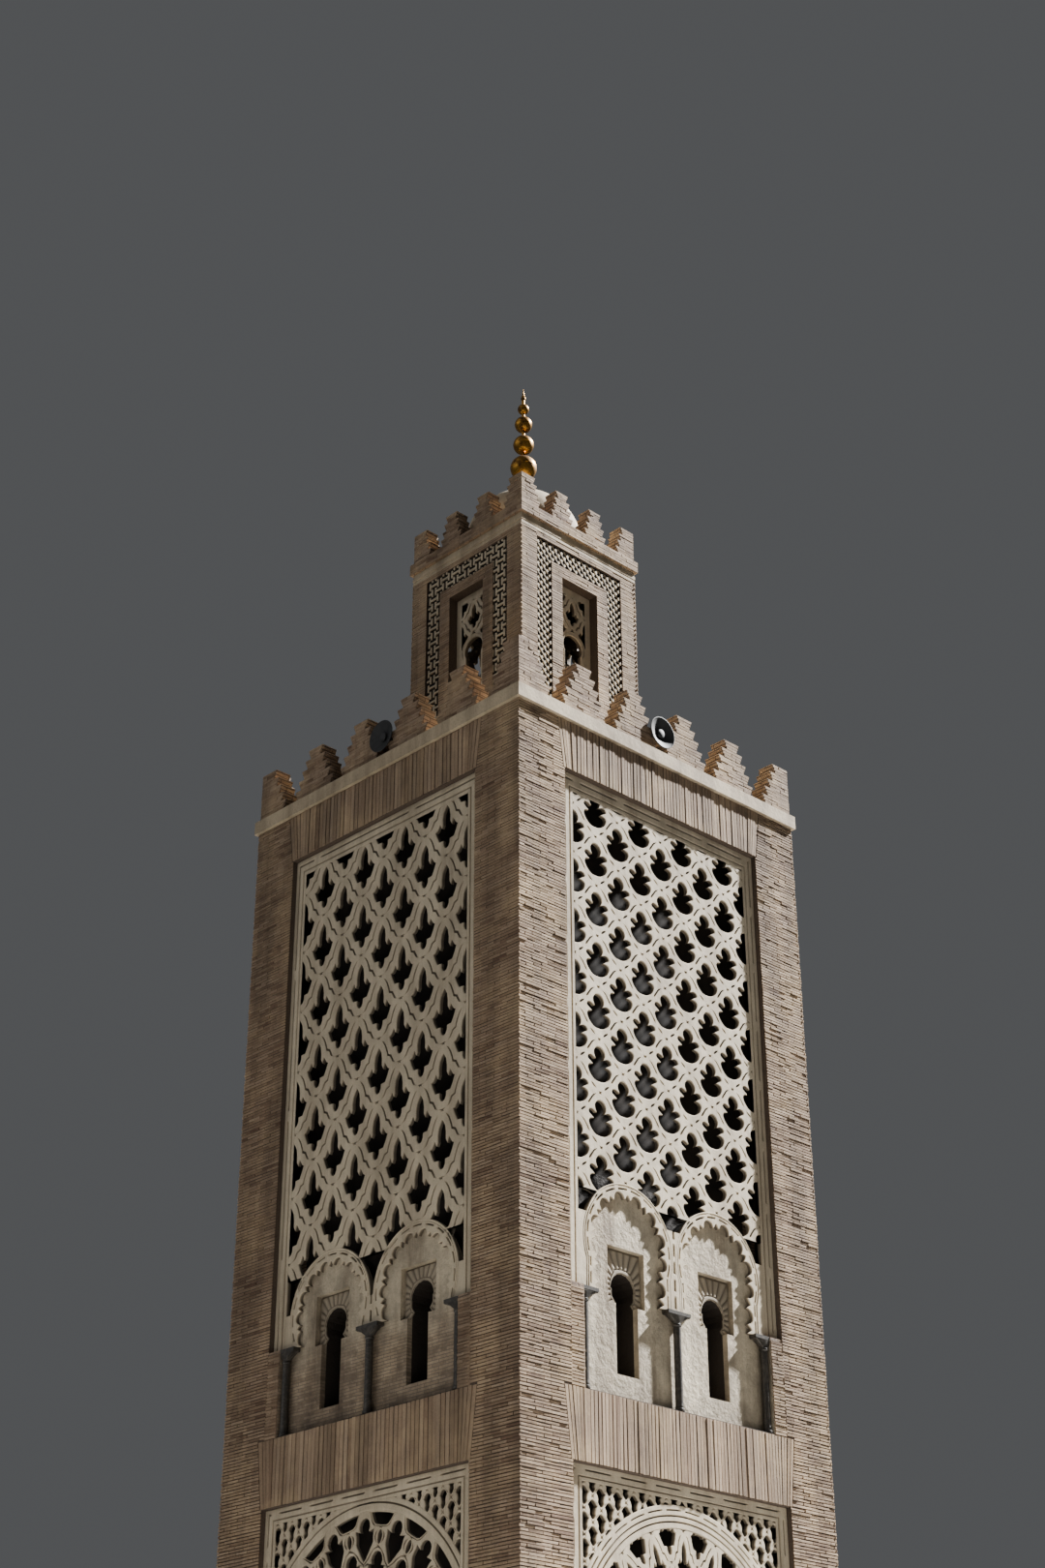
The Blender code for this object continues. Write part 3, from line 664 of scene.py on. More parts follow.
def lay_parapet(face, lantern):
    """Thin bricks on the face of the merlons, three courses to a level, whose ends step out
    towards the top of each level. A bed of mortar lies under them."""
    sizes = bpy.context.scene.tower_sizes
    half, foot, strip, level, levels, top, grow, undercut, corner, centres = PARAPETS[lantern]
    course = level / 3
    row = np.arange(levels * 3)
    rows = foot + strip + row * course
    reach = top + (levels - 1 - row // 3) * grow - undercut * (1 - (row % 3) / 3)
    limits = [np.stack([centre - reach, centre + reach], -1) for centre in centres]
    for side in (-1, 1):
        ends = [np.full(len(row), side * half), side * (corner - reach)]
        limits.append(np.sort(np.stack(ends, -1)))
    work = Masonry(90 + face + 4 * lantern, 0.6)
    for i, ends in enumerate(limits):
        work.bed(np.column_stack([ends, rows, rows + course]), face, half)
        work.lay(coursed(ends, rows, course, sizes.stretcher * 0.8, sizes.joint * 0.55, 100 + i),
                 face, half, spread=0.5, middle=0.6)
    if lantern:
        half += 0.035
        eaves, course, count = LANTERN_EAVES
        rows = eaves + np.arange(count) * course
        ends = np.repeat([[-half, half]], count, 0)
        work.lay(coursed(ends, rows, course, sizes.stretcher, sizes.joint * 0.55, 110 + face),
                 face, half, spread=0.5, middle=0.6)
    work.finish(("lantern_" if lantern else "") + FACES[face] + "_parapet_bricks")


class Carving:
    """Gathers closed solids of one carved piece; depths count inwards from the face."""

    def __init__(self):
        self.points, self.faces, self.count = [], [], 0

    def take(self, points, faces):
        """Keep a block of points and faces, without the faces that shrank to a line."""
        points = points.reshape(-1, 3)
        faces = faces.reshape(-1, 4)
        corner = points[faces]
        one = np.cross(corner[:, 1] - corner[:, 0], corner[:, 2] - corner[:, 0])
        two = np.cross(corner[:, 2] - corner[:, 0], corner[:, 3] - corner[:, 0])
        area = np.linalg.norm(one, axis=1) + np.linalg.norm(two, axis=1)
        self.points.append(points)
        self.faces.append(faces[area > 2e-7] + self.count)
        self.count += len(points)

    def tiles(self, centres, opening, border, groove, place, clip, depth=SCREEN):
        """Pierced tiles. Each is a ring that runs from the edge of its opening to the border
        that it shares with its neighbours: reveal, small bevel, flat face, then the steep side
        and half the floor of the groove cut along the border, with a slanting back. place maps
        tile points to (u, z) and clip trims them."""
        cut = bpy.context.scene.tower_sizes.groove
        way = border - opening
        length = np.maximum(np.linalg.norm(way, axis=1), 1e-4)
        bevel = np.minimum(0.009 / length, 0.25)[:, None]
        lip = (np.minimum(0.0145 / length, 0.4) * np.minimum(1, groove * 1.5))[:, None]
        rings = [opening, opening, opening + way * bevel, border - way * lip,
                 border - way * lip * 0.8, border]
        count, amount, size = len(rings), len(centres), len(border)
        level = np.zeros((count, size))
        level[0] = depth[1]
        level[1] = depth[0] + 0.008
        level[2:4] = depth[0]
        level[4:] = depth[0] + cut * groove
        flat = clip(place(np.asarray(centres, float)[:, None, None, :],
                          np.stack(rings)[None]))
        level = np.broadcast_to(level[None], flat.shape[:-1])
        points = np.concatenate([flat, level[..., None]], -1)
        ring, step = np.meshgrid(np.arange(count), np.arange(size), indexing="ij")
        follow, after = (ring + 1) % count * size, (step + 1) % size
        quads = np.stack([ring * size + step, ring * size + after, follow + after,
                          follow + step], -1)
        faces = quads[None] + (np.arange(amount) * count * size)[:, None, None, None]
        self.take(points, faces)

    def band(self, path, offsets, levels, back):
        """A strip whose profile is carried along a path: offsets to its left-hand side and
        levels give the front of the profile at each point, back the depth of its plain back."""
        path = np.asarray(path, float)
        ahead = np.gradient(path, axis=0)
        ahead /= np.linalg.norm(ahead, axis=1, keepdims=True)
        left = np.stack([-ahead[:, 1], ahead[:, 0]], -1)
        length, width = len(path), np.shape(offsets)[-1]
        offsets = np.broadcast_to(offsets, (length, width))
        flat = path[:, None] + left[:, None] * offsets[..., None]
        self.sheet(flat, np.broadcast_to(levels, (length, width)), back)

    def sheet(self, flat, levels, back, closed=False):
        """Close a grid of front points (u, z) with a plain back that has points along its
        edges only. The rows run in a loop, or else a fan of faces closes each end."""
        length, width = flat.shape[:2]
        behind = flat[:, np.linspace(0, width - 1, 2 + width % 2).astype(int)]
        far_level = np.full(behind.shape[:2] + (1,), back)
        points = np.concatenate([
            np.concatenate([flat, levels[..., None]], -1).reshape(-1, 3),
            np.concatenate([behind, far_level], -1).reshape(-1, 3)])
        front = np.arange(length * width).reshape(length, width)
        rear = front.size + np.arange(far_level.size).reshape(length, -1)
        quads = []
        for row, way in () if closed else ((0, 1), (-1, -1)):
            chain = np.concatenate([front[row], rear[row, :0:-1]])
            fan = np.stack([np.full(len(chain) // 2, rear[row, 0]), chain[:-2:2], chain[1:-1:2],
                            chain[2::2]], -1)
            quads.append(fan[:, ::way])
        if closed:
            front, rear = (np.concatenate([grid, grid[:1]]) for grid in (front, rear))
        sides = [rear[:, ::-1]] + [np.stack([rear[:, edge], front[:, edge]], -1)[:, ::way]
                                   for edge, way in ((0, 1), (-1, -1))]
        for grid in [front] + sides:
            cells = [grid[:-1, :-1], grid[1:, :-1], grid[1:, 1:], grid[:-1, 1:]]
            quads.append(np.stack(cells, -1).reshape(-1, 4))
        faces = np.concatenate(quads)
        self.take(points, faces if self.faces_out(points, faces) else faces[:, ::-1])

    def faces_out(self, points, faces):
        """Whether the closed solid holds a positive volume, so its faces point outwards."""
        corner = points.reshape(-1, 3)[faces]
        corner = corner - corner.mean((0, 1))
        volume = 0.0
        for a, b, c in ((0, 1, 2), (0, 2, 3)):
            volume += np.einsum("ij,ij->i", corner[:, a],
                                np.cross(corner[:, b], corner[:, c])).sum()
        return volume < 0

    def finish(self, name, face, finish, node, half=SHAFT_HALF):
        points = on_tower(np.concatenate(self.points), face, half)
        return put(name, points, np.concatenate(self.faces), finish, node, slot="plaster",
                   merge=False)


# Half of a lattice cell, in centimetres. The curve runs along the groove from the upper node of a
# cell to its side node, with the depth of the groove; the two openings follow it step by step.
STEPPED = {
    "curve": ((0, 0, 1), (2.6, -2.16, 0), (5, -4.16, 0), (7.3, -5.96, .6), (10.3, -10.46, 1),
              (12.6, -15.96, 1), (14.2, -19.96, 1), (14.9, -22.96, 1), (15.9, -23.46, 1),
              (17, -23.86, 1), (18.2, -24.36, 1), (19.8, -25.06, 1), (21.5, -28.16, 1),
              (24, -32.36, .6), (28.5, -35.56, 0), (34.25, -36.16, 1)),
    "top": 36.16,
    "upper": ((0, 25.1), (2.5, 21.7), (5.1, 17.1), (6.3, 9.6), (6.1, 2.7), (8.1, -1), (8.9, 2.2),
              (10.6, 5.2), (11.2, 4.3), (11.9, 3.2), (12.5, 2.2), (13.3, 1), (14.2, -.4),
              (14.9, -1.5), (16.3, -2.2), (17.8, -2.9)),
    "lower": ((17.8, -2.9), (17.5, -3.7), (17, -5), (16.2, -6.9), (15, -9.8), (13.2, -13.2),
              (11.9, -15.5), (11.3, -16.5), (9.5, -16.6), (7.8, -16.7), (6.2, -16.9),
              (5, -17), (4.8, -21.9), (2.9, -25.6), (1.3, -26.5), (0, -27)),
}
PALMETTE = {
    "curve": ((0, 0, 1), (2.4, -.8, 0), (5.6, -1.6, 0), (8.8, -3.2, .8), (11, -5.2, 1),
              (12.8, -7.7, 1), (14.7, -10, 1), (16.2, -12.5, .8), (18.5, -16, 0), (21, -19.2, 0),
              (23.3, -21.4, 1), (24.85, -22.6, 1), (26.4, -23.8, 1), (28.5, -25.6, 0),
              (31.5, -27.6, 0), (34.25, -29.3, 1)),
    "top": 25.4,
    "upper": ((0, 17.1), (2.8, 16.6), (5.2, 15.2), (7, 13), (8, 10.4), (7.9, 7.6), (6.8, 5.2),
              (5.4, 3.2), (8.8, 5.2), (12.2, 6.2), (15.4, 5.2), (16.8, 2.6), (15.6, 0.2),
              (12.2, -1.8), (9.4, -3.6), (13, -4.2)),
    "lower": ((13, -4.2), (15.4, -5.4), (16.4, -7.4), (16.4, -9.6), (15.6, -12), (14.4, -14.2),
              (12.8, -16.2), (11, -17.8), (9.2, -19), (7.6, -19.8), (6, -20.4), (4.6, -20.8),
              (3.2, -21), (2, -21.1), (1, -21.1), (0, -21.1)),
}
CELL_HALF = 0.3425     # half the width of a lattice cell, in metres


def mirrored(half):
    """Whole outline of a cell from its right half, clockwise from the top."""
    half = np.asarray(half, float)
    other = half[-2:0:-1].copy()
    other[:, 0] *= -1
    return np.concatenate([half, other])


def lattice_cell(kind):
    """Opening, border and groove of a whole lattice cell, in metres."""
    curve = np.asarray(kind["curve"], float)
    upper = curve[:, :2] + (0, kind["top"])
    side = upper[-1]
    lower = np.stack([side[0] - curve[:, 0], side[1] + curve[:, 1]], -1)
    border = mirrored(np.concatenate([upper, lower[1:]])) / 100
    opening = mirrored(np.concatenate([kind["upper"], kind["lower"][1:]])) / 100
    groove = np.concatenate([curve[:, 2], curve[1:, 2]])
    return opening, border, np.concatenate([groove, groove[-2:0:-1]])


def arc_points(centre, radius, start, end, count):
    """Points on an arc between two angles in degrees, measured from the u axis."""
    angle = np.radians(np.linspace(start, end, count))
    return np.stack([centre[0] + radius * np.cos(angle), centre[1] + radius * np.sin(angle)], -1)


def smooth_step(value):
    value = np.clip(value, 0, 1)
    return value * value * (3 - 2 * value)


def dashes(length, dash, gap, ramp_length=0.015, start=0.0):
    """1 inside the dashes of a broken line and 0 between them, at each length along it."""
    place = (length - start) % (dash + gap)
    rise = smooth_step(place / ramp_length)
    fall = smooth_step((dash - place) / ramp_length)
    return rise * fall


def along(path):
    """Length along a path at each of its points."""
    step = np.linalg.norm(np.diff(path, axis=0), axis=1)
    return np.concatenate([[0], np.cumsum(step)])


ARCH_FOOT = 0.49
ARCH_INNER = 0.53
RIBBON = 0.60          # middle of the ribbon of an arch, where the lattice ends under it


def arch_path(zone, u):
    """Line of the inner edge of an arch: straight jambs, then a horseshoe round its centre."""
    below = np.degrees(np.arccos(ARCH_FOOT / ARCH_INNER))
    centre = (u, zone["arch"])
    round_part = arc_points(centre, ARCH_INNER, -below, 180 + below, 190)
    rise = np.linspace(zone["ledge"] + CLEAR, round_part[0, 1], 26)[:-1]
    return jambs(round_part, rise, u - ARCH_FOOT, u + ARCH_FOOT)


def jambs(curve, rise, left, right):
    """Path up the right-hand jamb, along the curve of an arch and down the left-hand jamb."""
    up, down = (np.stack([np.full(len(rise), u), z], -1)
                for u, z in ((right, rise), (left, rise[::-1])))
    return np.concatenate([up, curve, down])


def carve_arch(work, zone, u, pointed):
    """Ribbon of an arch: round lobes with a small pointed one between each two, counted from
    the crown, cut along its inner edge; a broken groove in its middle and a fillet outside."""
    path = arch_path(zone, u)
    run = along(path)
    pairs = 5.17 if pointed else 4.83
    turn = (run / run[-1] * 2 - 1) * pairs
    small = np.abs((turn + 0.5) % 1.0 - 0.5) / 0.18
    large = np.abs(turn % 1.0 - 0.5) / 0.32
    swell = np.where(small < 1, 0.72 * (1 - small ** 1.3),
                     np.sqrt(np.clip(1 - large ** 2, 0, 1)))
    edge = 0.062 - (0.088 if pointed else 0.076) * swell
    shape = np.array([0.0, 0.006, 0.020, 0.036, 0.046, 0.051, 0.064, 0.069, 0.079, 0.083, 0.091,
                      0.104, 0.110])
    line = dashes(run, 0.12, 0.05, 0.012, 0.02)[:, None]
    relief = np.array([0.006, 0, 0, 0, 0, 0, 0, 0, 0, 0.007, 0.007, 0, 0.004])
    cut = np.array([0, 0, 0, 0, 0, 1, 1, 0, 0, 0, 0, 0, 0]) * 0.024
    offsets = np.broadcast_to(-shape, (len(path), len(shape))).copy()
    offsets[:, 0] = edge
    offsets[:, 1] = edge - 0.005
    offsets[:, 2] = np.minimum(edge - 0.008, -0.006)
    levels = SCREEN[0] - 0.004 + relief + cut * line
    work.band(path, offsets, levels, SCREEN[1])


def carve_post(work, zone, top):
    """Narrow post between the feet of the two arches, with a broken line down its middle."""
    z = np.linspace(zone["ledge"] + CLEAR, top, 60)
    path = np.stack([np.zeros(60), z], -1)
    width = np.clip(ARCH_U - np.sqrt(np.clip(RIBBON ** 2 - (z - zone["arch"]) ** 2, 0, 1)),
                    0.03, ARCH_U - ARCH_FOOT - 0.06)
    share = np.array([-1, -0.35, -0.22, -0.16, 0, 0.16, 0.22, 0.35, 1])
    cut = np.array([0, 0, 0, 1, 1, 1, 0, 0, 0]) * 0.024
    line = dashes(z - z[0], 0.13, 0.05, 0.02, 0.03)[:, None]
    narrow = np.minimum(width, 0.075)[:, None]
    offsets = share * narrow
    offsets[:, 0] = -width
    offsets[:, -1] = width
    work.band(path, offsets, SCREEN[0] - 0.002 + cut * line, SCREEN[1])


def frame_loop(low, high, closed, marks):
    """Inner and outer points of a frame where its broken groove changes, at marks measured
    along the outer edge, and at the four corners of the opening and of the outer edge."""
    inner = np.array([(LATTICE_HALF, low[1]), (LATTICE_HALF, high[0]),
                      (-LATTICE_HALF, high[0]), (-LATTICE_HALF, low[1])])
    outer = np.array([(PANEL_REACH, low[0]), (PANEL_REACH, high[1]),
                      (-PANEL_REACH, high[1]), (-PANEL_REACH, low[0])])
    if not closed:
        inner[[0, 3], 1] = low[0]
    pick, begin = [], 0.0
    for i in range(4 if closed else 3):
        j = (i + 1) % 4
        length = np.linalg.norm(outer[j] - outer[i])
        share = (marks - begin) / length
        share = np.concatenate([[0], share[(share > 0.001) & (share < 0.999)]])[:, None]
        pick.append(np.stack([edge[i] + share * (edge[j] - edge[i])
                              for edge in (inner, outer)], 1))
        begin += length
    if not closed:
        pick.append(np.stack([inner[3], outer[3]])[None])
    return np.concatenate(pick)


def carve_frame(work, low, high, closed, dash, gap):
    """Frame round a pierced panel: one fine groove near the opening and one broken groove
    further out, both carried along all sides."""
    period = np.arange(int(14 / (dash + gap)))[:, None] * (dash + gap)
    pair = frame_loop(low, high, closed,
                      (period + (0.06, 0.09, 0.03 + dash, 0.06 + dash)).ravel())
    share = np.array([0, 0.03, 0.20, 0.23, 0.30, 0.33, 0.60, 0.64, 0.72, 0.76, 0.97, 1.0])
    flat = pair[:, :1] + (pair[:, 1:] - pair[:, :1]) * share[:, None]
    run = along(pair[:, 1])
    fine = np.array([0.4, 0, 0, 1, 1, 0, 0, 0, 0, 0, 0, 0.4]) * 0.016
    wide = np.array([0, 0, 0, 0, 0, 0, 0, 1, 1, 0, 0, 0]) * 0.022
    levels = SCREEN[0] - 0.003 + fine + wide * dashes(run, dash, gap, 0.03, 0.06)[:, None]
    work.sheet(flat, levels, SCREEN[1], closed)


def square_limits(flat, low, high):
    """Keep points within the opening of a frame."""
    flat = flat.copy()
    flat[..., 0] = np.clip(flat[..., 0], -LATTICE_HALF, LATTICE_HALF)
    flat[..., 1] = np.clip(flat[..., 1], low, high)
    return flat


def past_circle(flat, centre, radius, inside=False):
    """Push points out of a circle, or back into it, along its rays."""
    way = flat - centre
    length = np.maximum(np.linalg.norm(way, axis=-1, keepdims=True), 1e-9)
    moved = centre + way / length * radius
    return np.where((length > radius) if inside else (length < radius), moved, flat)


def carve_upper(face):
    """Upper screen of a side: its net of ribs, the frame, two lobed arches and their post."""
    zone = ZONES[face % 2]
    # cell, height of the first row, pitch of the rows and their number
    kind, first, step, rows = ((STEPPED, 13.356, 0.3616, 14), (PALMETTE, 13.527, 0.293, 17))[
        face % 2]
    opening, border, groove = lattice_cell(kind)
    index = np.arange(-1, rows)
    centres = np.array([(i * CELL_HALF, first - k * step) for k in index for i in range(-4, 5)
                        if (i + k) % 2 == 1])
    arches = [np.array((side * ARCH_U, zone["arch"])) for side in (-1, 1)]
    reach = np.abs(centres[:, None] - np.array(arches)[None])
    inside = (np.hypot(reach[..., 0], reach[..., 1]) < RIBBON - 0.20).any(1)
    under = (centres[:, 1] < zone["arch"] + 0.12) & (np.abs(centres[:, 0]) > 0.1) & (
        np.abs(centres[:, 0]) < 1.2)
    shelf, outer = ((8.83, 8.83), (9.20, 9.21))[face % 2]   # feet of the net, middle and ends
    centres = centres[~inside & ~under & (centres[:, 1] > zone["arch"] + 0.05)]
    reach = centres[:, 1] + kind["top"] / 100 - 0.02
    centres = centres[np.where(np.abs(centres[:, 0]) < 0.1, reach > shelf,
                               (np.abs(centres[:, 0]) < 1.2) | (reach > outer))]

    def clip(flat):
        away = np.abs(flat[..., 0])
        foot = np.where(away < 0.30, shelf, np.where(away > 1.08, outer, 0))
        flat = np.stack([flat[..., 0], np.maximum(flat[..., 1], foot)], -1)
        for centre in arches:
            flat = past_circle(flat, centre, RIBBON)
        return square_limits(flat, zone["arch"] - 0.25, LATTICE_TOP)

    work = Carving()
    work.tiles(centres, opening, border, groove, lambda centre, local: centre + local, clip)
    for u in (-ARCH_U, ARCH_U):
        carve_arch(work, zone, u, face % 2 == 1)
    carve_post(work, zone, zone["arch"] + (0.02 if face % 2 == 0 else 0.30))
    carve_frame(work, (zone["ledge"] + CLEAR, zone["ledge"]), (LATTICE_TOP, UPPER_TOP), False,
                *((1.6, 0.10) if face % 2 == 0 else (0.62, 0.09)))
    for side in (-1, 1):
        z = np.linspace(zone["ledge"] + CLEAR, zone["arch"] + (0.075, 0.235)[face % 2], 14)
        near = ARCH_U + np.sqrt(np.clip(0.63 ** 2 - (z - zone["arch"]) ** 2, 0.59 ** 2, 1))
        flat = np.stack([np.stack([side * near, z], -1),
                         np.stack([np.full(14, side * (LATTICE_HALF + 0.02)), z], -1)], 1)
        work.sheet(flat, np.full((14, 2), SCREEN[0]), SCREEN[1])
    name = FACES[face] + "_upper_screen"
    return work.finish(name + "_carved", face, shared(carved_stucco, 2.166, 2.145), (name,))


# Tiles of the front wheel, each as (opening, border, groove) of its right half. Openings are
# (x, radius) in centimetres and borders (degrees, radius in centimetres) about the tile's ray.
FRONT_WHEEL = {
    "palmette": (0, (
        ((0, 146.2), (0, 153), 0), ((3.55, 145.4), (1.2, 153), 0), ((6.4, 143.1), (2.4, 153), 0),
        ((7.9, 139.8), (3.3, 149.5), 1), ((7.9, 136.1), (4.1, 145.5), 1),
        ((6.4, 133.1), (4.9, 141.5), 1), ((10.2, 134.2), (6.2, 138.5), .4),
        ((13.6, 135.1), (10, 137.4), 1), ((13.2, 133), (8.7, 135.2), 0),
        ((12.6, 131), (7.6, 132), .8), ((12.5, 128.3), (7.1, 128.3), 1),
        ((12.5, 125.5), (7.6, 124.6), .8), ((12.4, 123), (8.7, 121.5), 0),
        ((11.2, 120.5), (10, 119.5), 1), ((8.6, 117), (7.3, 117), .4),
        ((5.6, 112.5), (5.3, 112.5), 1), ((2.4, 108), (3.6, 108), .6),
        ((0, 105.2), (0, 102.5), 1))),
    "lens": (10, (
        ((0, 151), (0, 153), 0), ((9.2, 150.8), (3.8, 153), 0), ((16.6, 149.9), (7.6, 153), 0),
        ((15.4, 147.3), (6.7, 149.5), 1), ((13.1, 143.9), (5.9, 145.5), 1),
        ((10.9, 141.1), (5.1, 141.5), 1), ((7.3, 139.5), (3.8, 138.5), .4),
        ((0, 139.2), (0, 137.4), 1))),
    "seed": (10, (
        ((0, 135.3), (0, 137.4), 1), ((2.1, 133.8), (1.3, 135.2), 0),
        ((3.1, 131), (2.4, 132), .8), ((3.25, 128.3), (2.9, 128.3), 1),
        ((3, 125.5), (2.4, 124.6), .8), ((1.9, 122.8), (1.3, 121.5), 0),
        ((0, 121.3), (0, 119.5), 1))),
    "second": (10, (
        ((0, 115.5), (0, 119.5), 1), ((4.5, 114.2), (2.7, 117), .4),
        ((7.6, 110.8), (4.7, 112.5), 1), ((8.5, 107), (6.4, 108), .6),
        ((7.2, 102.8), (10, 102.5), 1), ((12, 103.5), (10, 100.5), 0),
        ((11.6, 100), (10, 98), 1), ((10.5, 94.5), (10, 94.5), 1),
        ((9.6, 91.5), (10, 90.5), 0), ((7.2, 87.5), (7, 88), 1),
        ((4.6, 83.5), (4.6, 84.5), 1), ((2, 80.5), (3.2, 81), .6), ((0, 78.5), (0, 76.5), 1))),
    "third": (0, (
        ((0, 87), (0, 90.5), 0), ((3.2, 85.8), (3, 88), 1), ((5.6, 83.2), (5.4, 84.5), 1),
        ((6, 80), (6.8, 81), .6), ((4.8, 76.8), (10, 76.5), 1), ((8, 77.3), (10, 75), 0),
        ((7.4, 74), (10, 73), 1), ((6.2, 70), (10, 69), 1), ((4.4, 66), (10, 63.5), 0),
        ((2.2, 62.5), (5, 60), 1), ((0, 60), (0, 57.5), 0))),
    "petal": (10, (
        ((0, 60), (0, 63.5), 0), ((3, 58), (5, 60), 1), ((4.6, 53), (10, 57.5), 0),
        ((4.4, 46), (10, 48), 1), ((3.2, 38), (10, 38), 1), ((1.6, 30), (10, 28), 1),
        ((0, 27), (0, 23), 0))),
}
# Drop of the corner nets, in centimetres: opening and border of its right half
DROP = (
    ((0, 8.5), (2.2, 7.8), (3.6, 5.8), (3.8, 3.5), (2.6, 1.2), (2, -2), (2.5, -5), (2, -8),
     (0, -9.5)),
    ((0, 12), (2.8, 9), (5.6, 6), (8.4, 3), (11.2, 0), (8.4, -3), (5.6, -6), (2.8, -9),
     (0, -12)),
)
WHEEL = np.array((0.0, (LOWER_PANEL[0] + LOWER_PANEL[1]) / 2))
WHEEL_HALF = 1.60
SPOKES = 18


def ray(angle, local):
    """Points (x, radius) about a ray of the wheel as (u, z)."""
    c, s = np.cos(angle), np.sin(angle)
    x, y = local[..., 0], local[..., 1]
    return np.stack([x * c + y * s, y * c - x * s], -1) + WHEEL


def carve_front_wheel(work, clip):
    """Rings of palmettes, lenses and seeds that grow smaller towards the middle."""
    for start, half in FRONT_WHEEL.values():
        opening = mirrored([row[0] for row in half]) / 100
        turned = mirrored([row[1] for row in half])
        angle, radius = np.radians(turned[:, 0]), turned[:, 1] / 100
        border = np.stack([radius * np.sin(angle), radius * np.cos(angle)], -1)
        depth = np.array([row[2] for row in half], float)
        groove = np.concatenate([depth, depth[-2:0:-1]])
        rays = np.radians(start + 360 / SPOKES * np.arange(SPOKES))[:, None]
        work.tiles(rays, opening, border, groove,
                   lambda centre, local: ray(centre[..., 0], local), clip)


def carve_side_wheel(work, clip):
    """Stepped net bent round the middle: each ring repeats the last one at a fixed ratio, so
    the radius falls off exponentially with the row."""
    opening, border, groove = lattice_cell(STEPPED)
    ratio = np.log(1.03 / 1.325)
    outer = 1.325

    def place(centre, local):
        angle = centre[..., 0] + local[..., 0] / CELL_HALF * np.radians(10)
        radius = outer * np.exp(ratio * (centre[..., 1] - local[..., 1] / 0.3616))
        return np.stack([radius * np.sin(angle), radius * np.cos(angle)], -1) + WHEEL

    rows = np.arange(6)
    spoke = np.arange(SPOKES)
    angle = np.radians(360 / SPOKES * (spoke[None] + 0.5 * ((rows[:, None] + 1) % 2)))
    row = np.broadcast_to(rows[:, None], angle.shape)
    centres = np.stack([angle, row], -1).reshape(-1, 2)
    work.tiles(centres, opening, border, groove, place, clip)


def ring(work, radii, levels, clip, count=180):
    """Round band of the wheel from its radii and depths."""
    angle = 2 * pi * np.arange(count) / count
    path = np.stack([np.sin(angle), np.cos(angle)], -1)
    flat = WHEEL + path[:, None] * np.asarray(radii)[:, None]
    work.sheet(clip(flat), np.broadcast_to(levels, flat.shape[:2]), SCREEN[1], True)


def carve_lower(face):
    """Lower panel of a side: frame, corner nets, rings and the great wheel."""
    front = SCREEN[0]
    low, high = WHEEL[1] - WHEEL_HALF, WHEEL[1] + WHEEL_HALF
    side = face % 2 == 1
    outer_ring = 1.54 if side else 1.61
    inner_ring = 1.34 if side else 1.535
    boss = 0.34 if side else 0.22

    def clip(flat):
        return square_limits(flat, low, high)

    def within(flat):
        flat = past_circle(flat, WHEEL, inner_ring, inside=True)
        return clip(past_circle(flat, WHEEL, boss + 0.01))

    work = Carving()
    (carve_side_wheel if side else carve_front_wheel)(work, within)
    turn = np.arange(360)
    if side:            # two full grooves and a broken one, against a single groove
        radii = (1.335, 1.343, 1.388, 1.392, 1.404, 1.408, 1.444, 1.448, 1.460, 1.464, 1.499,
                 1.502, 1.514, 1.517, 1.549, 1.556)
        level = np.array([.003, 0, 0, .022, .022, 0, 0, .022, .022, 0, 0, 0, 0, 0, 0, .003])
        marks = np.outer(dashes(turn, 7.5, 2.5, 0.4, 1.25),
                         [0, 0, 0, 0, 0, 0, 0, 0, 0, 0, 0, .022, .022, 0, 0, 0])
        ring(work, radii, front - 0.003 + level + marks, clip, len(turn))
    else:
        radii = (1.528, 1.536, 1.586, 1.590, 1.604, 1.608, 1.648, 1.656)
        level = np.array([.003, 0, 0, .022, .022, 0, 0, .003])
        ring(work, radii, front - 0.003 + level, clip)
    radii = (0.0005, 0.05, 0.06, boss - 0.08, boss - 0.07, boss - 0.045, boss - 0.035, boss + 0.02)
    petals = np.abs(np.cos(np.radians(turn[::2]) * 9))[:, None]
    level = petals * (0, 0, .012, .012, 0, 0, 0, 0) + (-.008, -.004, 0, 0, 0, .01, 0, 0)
    ring(work, radii, front - 0.006 + level, clip)
    opening, border = (mirrored(half) / 100 for half in DROP)
    wide = np.abs(opening[:, 0]) * (1.6 if side else 1.3)
    room = 0.112 * (0.86 - np.abs(opening[:, 1]) / 0.12)
    opening = np.stack([np.sign(opening[:, 0]) * np.minimum(wide, room), opening[:, 1]], -1)
    pitch, step = 0.224, 0.12
    row, column = np.meshgrid(np.arange(-13, 14), np.arange(-7, 8), indexing="ij")
    centres = np.stack([(column + 0.5 * (row % 2)) * pitch, WHEEL[1] + 0.04 + row * step],
                       -1).reshape(-1, 2)
    away = np.linalg.norm(centres - WHEEL, axis=1)
    centres = centres[(away > outer_ring - 0.05) & (np.abs(centres[:, 0]) < 1.45)]
    groove = np.tile((1.0, 0.0), len(border) // 2)
    work.tiles(centres, opening, border, groove * 0.6, lambda centre, local: centre + local,
               lambda flat: clip(past_circle(flat, WHEEL, outer_ring)))
    carve_frame(work, (LOWER_PANEL[0], low), (high, LOWER_PANEL[1]), True, 0.38, 0.12)
    name = FACES[face] + "_lower_screen"
    return work.finish(name + "_carved", face, shared(carved_stucco, 2.166, 2.145), (name,))


